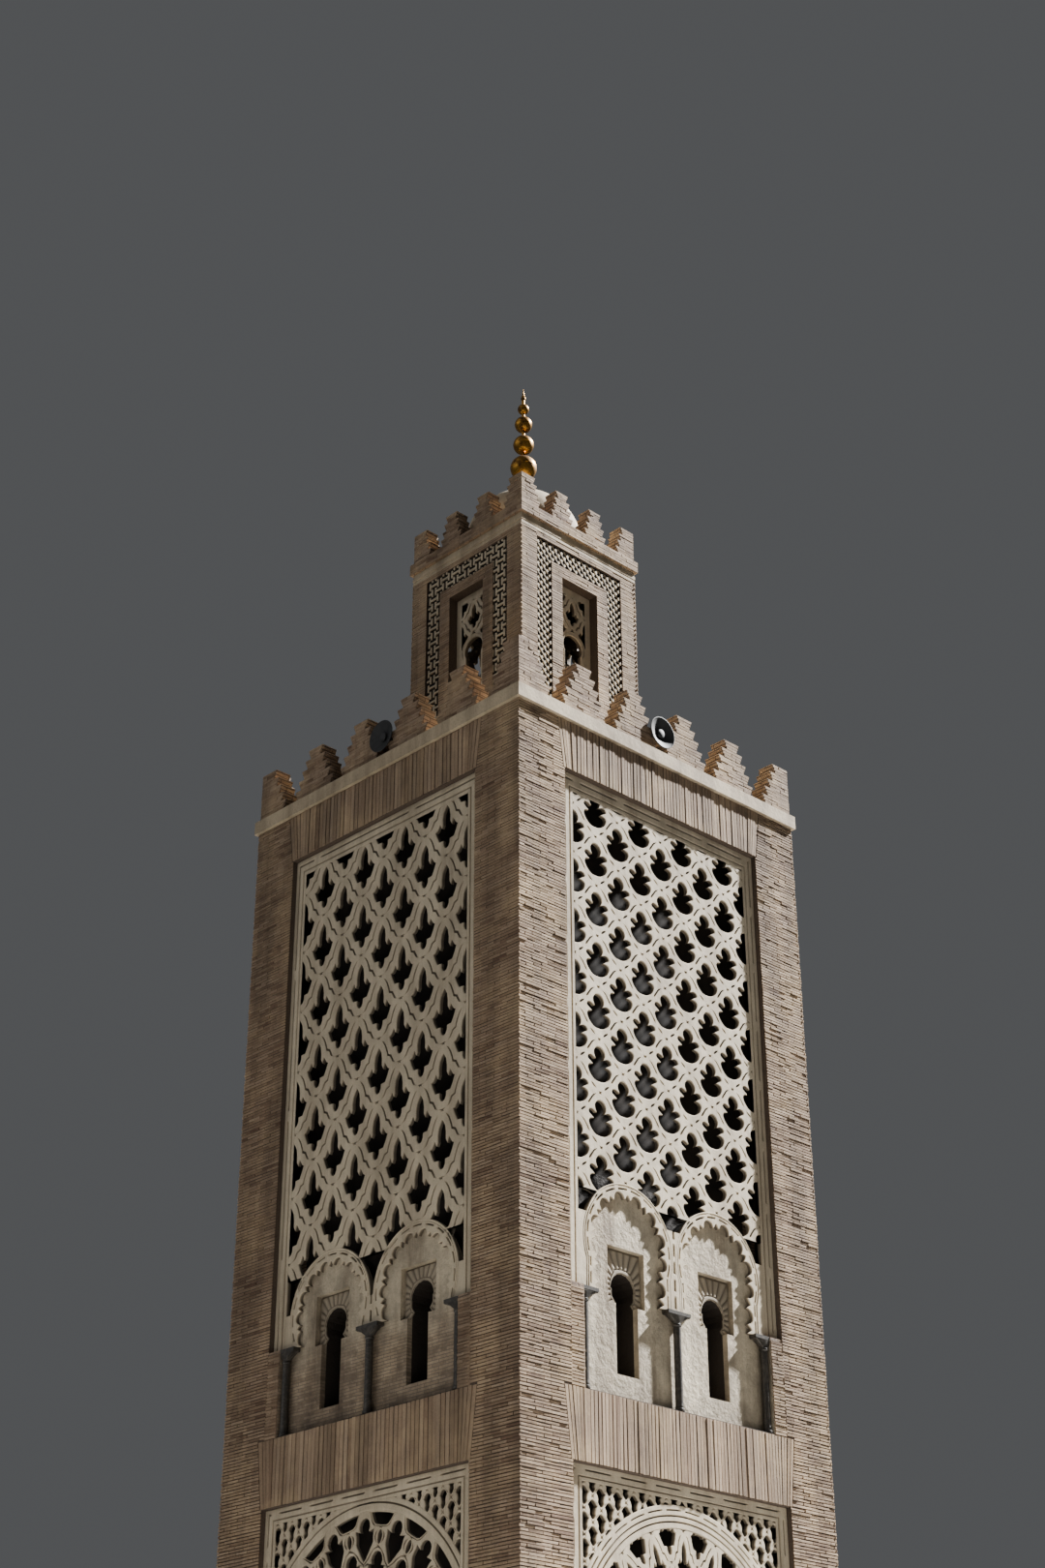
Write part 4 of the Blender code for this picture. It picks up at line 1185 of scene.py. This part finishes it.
def carve_fans(face):
    """Rayed carving round each window head. Points run along rays from the window's circle to
    the edge of its square recess, and the depth swings with the angle as flutes."""
    zone = ZONES[face % 2]
    floor = 0.169          # depth of the square recess round the window
    low, high = zone["alfiz"]
    work = Carving()
    angle = np.radians(np.linspace(-48, 228, 277))[:, None]
    share = np.array([0, 0.04, 0.12, 0.16, 0.22, 0.88, 0.95, 1.0])
    up, side = np.sin(angle), np.cos(angle)
    reach = np.minimum(0.256 / np.maximum(np.abs(side), 1e-6),
                       np.where(up > 0, (high - 0.005 - zone["window"]) / np.maximum(up, 1e-6),
                                (zone["window"] - low - 0.002) / np.maximum(-up, 1e-6)))
    inner = np.minimum(0.171, np.where(up < 0, 0.156 / np.maximum(np.abs(side), 1e-6), 0.171))
    inner = np.maximum(inner, 0.156)
    radius = inner + (reach - inner) * share
    flutes = np.abs(np.sin(angle * 25 / 2)) ** 0.7
    amount = np.array([0, 0, 0, 0, 1, 1, 0, 0]) * 0.012
    base = np.array([-0.008, -0.012, -0.012, -0.003, -0.002, -0.002, -0.001, 0.0])
    for u in (-ARCH_U, ARCH_U):
        flat = np.stack([u + radius * side, zone["window"] + radius * up], -1)
        work.sheet(flat, floor + base - amount * flutes, floor + 0.004)
    name = FACES[face] + "_window_fans"
    return work.finish(name, face, shared(carved_stucco, 2.085, 2.060), ())


def lathe(profile, sides, start=0.0, loop=False):
    """Surface of revolution: grid of angle by profile point (radius, height)."""
    profile = np.asarray(profile, float)
    angle = np.radians(start) + 2 * pi * np.arange(sides)[:, None] / sides
    radius = profile[None, :, 0]
    points = np.stack([np.cos(angle) * radius, np.sin(angle) * radius,
                       np.broadcast_to(profile[None, :, 1], (sides, len(profile)))], -1)
    index = np.arange(sides * len(profile)).reshape(sides, -1)
    index = np.concatenate([index, index[:1]])
    if loop:
        index = np.concatenate([index, index[:, :1]], 1)
    faces = np.stack([index[:-1, :-1], index[1:, :-1], index[1:, 1:], index[:-1, 1:]], -1)
    return points, faces.reshape(-1, 4)


def gather(parts):
    """Join several (points, faces) pairs."""
    points, faces, count = [], [], 0
    for some, quads in parts:
        some = np.reshape(some, (-1, 3))
        points.append(some)
        faces.append(np.reshape(quads, (-1, 4)) + count)
        count += len(some)
    return np.concatenate(points), np.concatenate(faces)


def quarter(radius, centre, start, end, count):
    """Profile points on an arc of a ball or moulding, angles in degrees."""
    angle = np.radians(np.linspace(start, end, count))
    return list(zip(centre[0] + radius * np.cos(angle), centre[1] + radius * np.sin(angle)))


def build_columns(face):
    """Window columns: turned shafts with a ring at the foot and the neck, and capitals whose
    section grows from a circle to a flat oblong as a superellipse, scalloped like leaves."""
    top = ZONES[face % 2]["ledge"] - CLEAR
    neck = top - 0.13
    shaft = [(0, 7.208), (0.050, 7.208), (0.052, 7.22), (0.050, 7.235), (0.042, 7.242),
             (0.045, 7.255), (0.042, 7.27), (0.0405, 7.30), (0.0395, neck - 0.08),
             (0.0385, neck - 0.02), (0.046, neck - 0.012), (0.046, neck + 0.004),
             (0.037, neck + 0.012), (0, neck + 0.012)]
    angle = np.radians(np.arange(0, 360, 7.5))
    rise = np.array([0, 0.02, 0.2, 0.38, 0.42, 0.6, 0.78, 0.95, 1.0])
    grow = rise ** 1.6
    power = (2.0 + 6.0 * rise)[None]
    leaf = 1 + 0.07 * np.cos(8 * angle)[:, None] * np.sin(pi * rise)[None]
    step = np.where(np.abs(rise - 0.4) < 0.03, 1.06, 1.0)
    half_u = (0.036 + 0.125 * grow) * step
    half_d = 0.036 + 0.0105 * grow
    c, s = np.cos(angle)[:, None], np.sin(angle)[:, None]
    wide = np.sign(c) * np.abs(c) ** (2 / power) * half_u * leaf
    deep = np.sign(s) * np.abs(s) ** (2 / power) * half_d * leaf
    height = np.broadcast_to(neck + 0.008 + rise * 0.089, wide.shape)
    bell = np.stack([wide, height, deep], -1)
    ends = [bell.mean(0)[[i]].repeat(len(angle), 0)[:, None] for i in (0, -1)]
    bell = np.concatenate([ends[0], bell, ends[1]], 1)
    index = np.arange(bell.shape[0] * bell.shape[1]).reshape(bell.shape[:2])
    index = np.concatenate([index, index[:1]])
    bell_faces = np.stack([index[:-1, :-1], index[:-1, 1:], index[1:, 1:], index[1:, :-1]], -1)
    parts = []
    turned, turned_faces = lathe(shaft, 28)
    turned = turned[..., [0, 2, 1]]
    for u in (-1.315, 0.0, 1.315):
        left, right = max(u - 0.163, -1.3655), min(u + 0.163, 1.3655)
        for shape, quads in ((turned, turned_faces), (bell, bell_faces)):
            moved = shape + (u, 0, 0.053)
            moved[..., 0] = np.clip(moved[..., 0], -1.3655, 1.3655)
            parts.append((moved, quads))
        slabs = [(left, right, top - 0.036, top), (left + 0.006, right - 0.006, top - 0.044,
                                                   top - 0.034)]
        parts.append(blocks(slabs, (0.006, 0.012), (0.1005, 0.098)))
    parts.append(blocks([(-1.3655, 1.3655, BAND_TOP, 7.2105)], 0.021, 0.1005))
    points, faces = gather(parts)
    name = FACES[face] + "_window_columns"
    return put(name + "_turned", on_tower(points, face), faces, shared(turned_marble), (name,),
               smooth=35, slot="marble")


def clip_rects(rects, area):
    """Parts of rectangles that lie inside an area (u0, u1, z0, z1)."""
    rects = np.clip(rects, np.repeat(area[::2], 2), np.repeat(area[1::2], 2))
    return rects[(rects[:, 1] - rects[:, 0] > 0.004) & (rects[:, 3] - rects[:, 2] > 0.004)]


CHANNEL = ((-0.722, -0.479, 15.303, 17.857), (0.479, 0.722, 15.303, 17.857),
           (-0.479, 0.479, 17.599, 17.857))
# Bars of one period of the front border, in centimetres: an H, then two posts with stubs
PLAIT = ((-5.7, 5.7, -1.2, 1.2), (-8.3, -5.7, -5.0, 5.0), (5.7, 8.3, -5.0, 5.0),
         (-4.5, -1.9, 5.5, 15.7), (1.9, 4.5, 5.5, 15.7), (-10.01, -4.5, 9.4, 11.8),
         (4.5, 10.01, 9.4, 11.8))


def plait_border(face):
    """Border of a lantern window: bars of stucco set in a sunk channel. The front and back
    have an angular plait, the sides a net of knots and slanting ribs."""
    if face % 2 == 0:
        column, row = np.meshgrid(np.arange(7), np.arange(-1, 13))
        place = np.stack([column * 0.2002 - 0.6005, 17.776 - row * 0.2114], -1).reshape(-1, 1, 2)
        bars = (np.array(PLAIT)[None] / 100 + place[..., [0, 0, 1, 1]]).reshape(-1, 4)
        rects = np.concatenate([clip_rects(bars, area) for area in CHANNEL])
        points, faces = blocks(rects, 0.004, 0.026)
    else:
        column, row = np.meshgrid(np.arange(-8, 9), np.arange(0, 50))
        place = np.stack([(column + 0.5 * (row % 2)) * 0.1, 17.79 - row * 0.0525], -1)
        place = place.reshape(-1, 2)
        within = np.zeros(len(place), bool)
        for area in CHANNEL:
            within |= ((place[:, 0] > area[0] + 0.004) & (place[:, 0] < area[1] - 0.004)
                       & (place[:, 1] > area[2] + 0.01) & (place[:, 1] < area[3] - 0.01))
        place = place[within]
        knot = np.array([(0, 0.024), (-0.022, 0), (0, -0.024), (0.022, 0)])[:, None]
        knots = slanted(place + knot, 0.002, 0.026)
        ribs = [knots]
        for side in (-1, 1):
            way = np.array((side * 0.05, 0.0525))
            across = np.array((-way[1], way[0])) / np.linalg.norm(way) * 0.0075
            shape = np.array([-across, across, way * 0.97 + across, way * 0.97 - across])
            ribs.append(slanted(place + shape[::-1, None], 0.013, 0.026))
        points, faces = gather(ribs)
    name = f"lantern_{FACES[face]}_border"
    ground, sides = blocks(CHANNEL, 0.0235, 0.027)
    put(name + "_ground", on_tower(ground.reshape(-1, 3), face, LANTERN_HALF), sides,
        shared(soot_and_shade_render), slot="plaster", merge=False)
    return put(name, on_tower(points.reshape(-1, 3), face, LANTERN_HALF), faces,
               shared(carved_stucco, 0.974, 0.958), slot="plaster", merge=False)


def slanted(corners, front, back):
    """Closed blocks over four-cornered outlines, given as (corner, block, (u, z))."""
    layers = [np.concatenate([corners, np.full(corners.shape[:2] + (1,), d)], -1)
              for d in (front, back)]
    points = np.concatenate(layers).transpose(1, 0, 2)
    return points, BLOCK[None] + 8 * np.arange(corners.shape[1])[:, None, None]


def carve_lantern_screen(face):
    """Screen of a lantern window: one stepped lozenge between four half ones, over a horseshoe
    arch with a stepped archivolt."""
    depth = (0.13, 0.18)
    half, outer, top, low = 0.215, 0.2997, 17.345, 15.4503
    centre = np.array((0.0, 16.63))
    opening, border, groove = lattice_cell(STEPPED)
    scale = np.array((half / CELL_HALF, 0.65))

    def clip(flat):
        flat = past_circle(flat, centre, 0.19)
        flat[..., 0] = np.clip(flat[..., 0], -half, half)
        flat[..., 1] = np.clip(flat[..., 1], centre[1], top)
        return flat

    work = Carving()
    spots = [(0, 17.11), (half, 17.345), (-half, 17.345), (half, 16.875), (-half, 16.875)]
    work.tiles(spots, opening * scale, border * scale, groove * 0.8,
               lambda place, local: place + local, clip, depth)
    foot, radius = 0.135, 0.158
    below = np.degrees(np.arccos(foot / radius))
    curve = arc_points(centre, radius, -below, 180 + below, 60)
    rise = np.linspace(15.60, curve[0, 1], 8)[:-1]
    path = jambs(curve, rise, -foot, foot)
    offsets = -np.array([0, 0.004, 0.022, 0.026, 0.040, 0.044, 0.060])
    levels = depth[0] + np.array([0, -0.006, -0.006, -0.002, -0.002, -0.008, 0.0]) + 0.002
    work.band(path, offsets, levels, depth[1])
    for side in (-1, 1):
        for u0, u1, z0, z1 in ((0.180, half + 0.001, 15.60, 16.64), (half, outer, low, 17.4397)):
            z = np.linspace(z0, z1, 2)
            flat = np.stack(np.meshgrid(side * np.array((u0, u1)), z), -1)
            work.sheet(flat, np.full((2, 2), depth[0]), depth[1])
    for z0, z1 in ((low, 15.60), (top, 17.4397)):
        flat = np.stack(np.meshgrid(np.array((-half, half)), np.array((z0, z1))), -1)
        work.sheet(flat, np.full((2, 2), depth[0]), depth[1])
    name = f"lantern_{FACES[face]}_screen"
    return work.finish(name + "_carved", face, shared(carved_stucco, 0.847, 0.832), (name,),
                       LANTERN_HALF)


def build_top():
    """Dome, finial and the moulded string under the slab of the lantern."""
    root = 2 ** 0.5
    string = [(0.97, 17.932), (0.984, 17.932), (0.987, 17.936), (0.987, 17.972), (0.982, 17.976),
              (0.982, 17.984), (0.991, 17.988), (0.991, 18.030), (0.983, 18.036), (0.981, 18.0897),
              (0.97, 18.0897)]
    points, faces = lathe([(r * root, z) for r, z in string], 4, 45, True)
    put("lantern_string", points, faces, shared(floated_render), slot="brick")

    spring, radius, inner = 18.516, 0.74, 0.66
    shell = [(0.0, 19.2505)] + quarter(radius, (0, spring), 83, 0, 30)
    shell += [(0.732, 18.40), (0.732, 18.29), (0.740, 18.28), (0.740, 18.246), (inner, 18.246)]
    shell += quarter(inner, (0, spring), 0, 90, 16)
    points, faces = lathe(shell, 96)
    put("dome_shell", points, faces, shared(floated_render), ("dome",), 30, slot="plaster")

    foot = 19.2512
    profile = [(0.0, foot), (0.08, foot), (0.08, foot + 0.012), (0.06, foot + 0.02),
               (0.033, foot + 0.05)]
    for z, ball in ((19.74, 0.170), (20.11, 0.133), (20.44, 0.113), (20.69, 0.074),
                    (20.865, 0.032)):
        join = np.degrees(np.arcsin(0.022 / ball))
        half = quarter(ball, (0, z), -90 + join, -2, 14)
        seam = [(ball * 1.012, z - ball * 0.025), (ball * 1.012, z + ball * 0.025)]
        profile += half + seam + quarter(ball, (0, z), 2, 90 - join, 14)
        profile += [(0.026, z + ball * 0.995), (0.022, z + ball + 0.004)]
    profile = [p for p in profile if p[1] < 20.93] + [(0.013, 20.935), (0.006, 20.98),
                                                      (0.0, 21.03)]
    points, faces = lathe(profile, 48)
    put("finial_balls", points, faces, shared(gilt_copper), ("finial",), 40, slot="gilt_metal")


def build_horn(face):
    """Horn loudspeaker: flared mouth with a rolled rim, a bullet plug and its driver can."""
    axis = TERRACE + 0.26
    flare = [(0.05, 0.05), (0.062, 0.038), (0.08, 0.024), (0.10, 0.012), (0.125, -0.002),
             (0.15, -0.014), (0.175, -0.026), (0.189, -0.034)]
    rim = [(0.193, -0.035), (0.1948, -0.040), (0.193, -0.045), (0.188, -0.046)]
    throat = [(0.184, -0.043), (0.165, -0.035), (0.14, -0.024), (0.115, -0.012), (0.09, 0.0),
              (0.065, 0.010), (0.046, 0.014)]
    plug = [(0.052, 0.004), (0.055, -0.012), (0.048, -0.021), (0.030, -0.027), (0.0, -0.030)]
    can = [(0.0, 0.279), (0.048, 0.279), (0.062, 0.275), (0.069, 0.262), (0.069, 0.19),
           (0.0675, 0.187), (0.069, 0.184), (0.069, 0.112), (0.060, 0.10), (0.045, 0.09)]
    shape, faces = lathe(can + flare + rim + throat + plug, 64)
    turned = np.stack([shape[..., 0], axis + shape[..., 1], shape[..., 2]], -1)
    low = TERRACE + 0.0356
    strap = blocks([(-0.03, 0.03, low, low + 0.008), (-0.03, -0.024, low, axis - 0.05),
                    (0.024, 0.03, low, axis - 0.05)], (0.12, 0.125, 0.125),
                   (0.16, 0.155, 0.155))
    points, quads = gather([(turned, faces), strap])
    name = FACES[face] + "_loudspeaker"
    put(name + "_horn", on_tower(points, face), quads, shared(stoved_enamel), (name,), 30,
        slot="painted_metal")


THIN_COURSE = 0.0393     # a third of a level of the merlons


def coat_cad():
    """Give the CAD nodes that stay their finish."""
    finishes = {"window_wall": None,
                "parapet": shared(course_brick, "thin_cut_brick", THIN_COURSE),
                "pier": shared(lime_mortar), "wall": shared(lime_mortar),
                "slab": shared(floated_render),
                "roof": shared(course_brick, "thin_cut_brick", THIN_COURSE),
                "floor": shared(floated_render)}
    for name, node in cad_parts.items():
        ending = next((ending for ending in finishes if name.endswith(ending)), None)
        if ending is not None:
            worn = name.startswith(("front", "back"))
            node.data.materials.clear()
            node.data.materials.append(finishes[ending] or shared(window_plaster, worn))


FLOOR_HALF = 14.0
# Name, direction the light comes from, strength and angle in degrees
LIGHTS = (("key", (0.8, 2.9, 2.9), 24.0, 2), ("fill", (-0.3, -1, 0.5), 0.4, 60))
# Place of the camera fitted to the photograph, and its heading, upward turn and roll
EYE = (17.79, -17.16, 1.605)
EYE_TURNS = ((46.0855, "Z"), (90 + 28.605, "X"), (-0.1346, "Z"))


def build_stage():
    """Grey floor, a hard sun that grazes the right side, a weak soft one on the front, and the
    camera of the photograph."""
    colours = bpy.context.scene.tower_colours
    made, tree, shader, place = start_material("painted_studio_floor", 0.7)
    tone = ramp(tree, noise(tree, place, 0.6, 3.0), ((0.3, "9d9a94"), (0.7, colours.floor)))
    tree.links.new(tone, shader.inputs["Base Color"])
    corners = [(x * FLOOR_HALF, y * FLOOR_HALF, 0)
               for x, y in ((-1, -1), (1, -1), (1, 1), (-1, 1))]
    mesh = bpy.data.meshes.new("studio_floor")
    mesh.from_pydata(corners, [], [(0, 1, 2, 3)])
    mesh.materials.append(made)
    floor = bpy.data.objects.new("studio_floor", mesh)
    bpy.context.scene.collection.objects.link(floor)

    world = bpy.data.worlds.new("studio")
    bpy.context.scene.world = world
    world.use_nodes = True
    sky = world.node_tree.nodes["Background"]
    sky.inputs["Color"].default_value = srgb("dfe2e6")
    sky.inputs["Strength"].default_value = 0.12
    for name, way, power, angle in LIGHTS:
        lamp = bpy.data.lights.new(name, "SUN")
        lamp.energy = power
        lamp.angle = radians(angle)
        light = bpy.data.objects.new(name, lamp)
        light.rotation_euler = Vector(way).to_track_quat("Z", "Y").to_euler()
        bpy.context.scene.collection.objects.link(light)

    lens = bpy.data.cameras.new("camera")
    lens.lens = bpy.context.scene.tower_sizes.lens
    lens.sensor_width = 36.0
    lens.clip_end = 400.0
    camera = bpy.data.objects.new("camera", lens)
    stand = Matrix.Translation(EYE)
    for angle, axis in EYE_TURNS:
        stand = stand @ Matrix.Rotation(radians(angle), 4, axis)
    camera.matrix_world = stand
    bpy.context.scene.collection.objects.link(camera)
    bpy.context.scene.camera = camera


class FaceStep:
    """A step that calls its maker for each of its faces."""
    faces = range(4)

    def execute(self, context):
        for face in self.faces:
            self.maker(face)
        return {"FINISHED"}


class TOWER_OT_coat(bpy.types.Operator):
    """Give the plain solids their mortar, plaster and render"""
    bl_idname = "tower.coat"
    bl_label = "Coat the masonry"

    def execute(self, context):
        coat_cad()
        return {"FINISHED"}


class TOWER_OT_piers(FaceStep, bpy.types.Operator):
    """Lay the courses of the four corner piers"""
    bl_idname = "tower.piers"
    bl_label = "Lay the pier bricks"
    maker = staticmethod(lay_pier)


class TOWER_OT_walls(FaceStep, bpy.types.Operator):
    """Lay the courses, the bands of upright bricks and the window jambs"""
    bl_idname = "tower.walls"
    bl_label = "Lay the wall bricks"
    maker = staticmethod(lay_wall)


class TOWER_OT_lantern_bricks(FaceStep, bpy.types.Operator):
    """Lay the courses of the lantern walls"""
    bl_idname = "tower.lantern_bricks"
    bl_label = "Lay the lantern bricks"
    maker = staticmethod(lay_lantern)


class TOWER_OT_merlons(FaceStep, bpy.types.Operator):
    """Lay the thin bricks of the two parapets"""
    bl_idname = "tower.merlons"
    bl_label = "Lay the merlon bricks"
    maker = staticmethod(lay_parapets)


class TOWER_OT_upper_screens(FaceStep, bpy.types.Operator):
    """Carve the nets of ribs that stand on two lobed arches"""
    bl_idname = "tower.upper_screens"
    bl_label = "Carve the upper screens"
    maker = staticmethod(carve_upper)


class TOWER_OT_lower_screens(FaceStep, bpy.types.Operator):
    """Carve the lower panels with their great wheels"""
    bl_idname = "tower.lower_screens"
    bl_label = "Carve the lower screens"
    maker = staticmethod(carve_lower)


class TOWER_OT_fans(FaceStep, bpy.types.Operator):
    """Carve the rays round the window heads"""
    bl_idname = "tower.fans"
    bl_label = "Carve the window heads"
    maker = staticmethod(carve_fans)


class TOWER_OT_columns(FaceStep, bpy.types.Operator):
    """Turn the marble columns between the windows"""
    bl_idname = "tower.columns"
    bl_label = "Turn the window columns"
    maker = staticmethod(build_columns)


class TOWER_OT_borders(FaceStep, bpy.types.Operator):
    """Set the plaited and netted borders of the lantern windows"""
    bl_idname = "tower.borders"
    bl_label = "Set the lantern borders"
    maker = staticmethod(plait_border)


class TOWER_OT_lantern_screens(FaceStep, bpy.types.Operator):
    """Carve the stepped lozenges over the lantern's arches"""
    bl_idname = "tower.lantern_screens"
    bl_label = "Carve the lantern screens"
    maker = staticmethod(carve_lantern_screen)


class TOWER_OT_top(bpy.types.Operator):
    """Build the dome, the gilt balls and the moulded string"""
    bl_idname = "tower.top"
    bl_label = "Build the dome and finial"

    def execute(self, context):
        build_top()
        return {"FINISHED"}


class TOWER_OT_horns(FaceStep, bpy.types.Operator):
    """Spin the horns on the parapet"""
    bl_idname = "tower.horns"
    bl_label = "Spin the horns"
    faces = (0, 1)
    maker = staticmethod(build_horn)


class TOWER_OT_stage(bpy.types.Operator):
    """Set the floor, the lights and the camera"""
    bl_idname = "tower.stage"
    bl_label = "Set the stage"

    def execute(self, context):
        build_stage()
        return {"FINISHED"}


OPERATORS = (TOWER_OT_coat, TOWER_OT_piers, TOWER_OT_walls, TOWER_OT_lantern_bricks,
             TOWER_OT_merlons, TOWER_OT_upper_screens, TOWER_OT_lower_screens, TOWER_OT_fans,
             TOWER_OT_columns, TOWER_OT_borders, TOWER_OT_lantern_screens, TOWER_OT_top,
             TOWER_OT_horns, TOWER_OT_stage)


class TOWER_PT_panel(bpy.types.Panel):
    """Colours, sizes and steps of the minaret"""
    bl_idname = "TOWER_PT_panel"
    bl_label = "Minaret"
    bl_space_type = "VIEW_3D"
    bl_region_type = "UI"
    bl_category = "Minaret"

    def draw(self, context):
        for group in (context.scene.tower_colours, context.scene.tower_sizes):
            box = self.layout.box()
            for key in group.__annotations__:
                box.prop(group, key)
        for operator in OPERATORS:
            self.layout.operator(operator.bl_idname)


def register():
    for group in (TowerColours, TowerSizes, *OPERATORS, TOWER_PT_panel):
        bpy.utils.register_class(group)
    bpy.types.Scene.tower_colours = PointerProperty(type=TowerColours)
    bpy.types.Scene.tower_sizes = PointerProperty(type=TowerSizes)


def unregister():
    del bpy.types.Scene.tower_sizes
    del bpy.types.Scene.tower_colours
    for group in reversed((TowerColours, TowerSizes, *OPERATORS, TOWER_PT_panel)):
        bpy.utils.unregister_class(group)


def main():
    register()
    for operator in OPERATORS:
        group, name = operator.bl_idname.split(".")
        getattr(getattr(bpy.ops, group), name)()


if __name__ == "__main__":
    main()
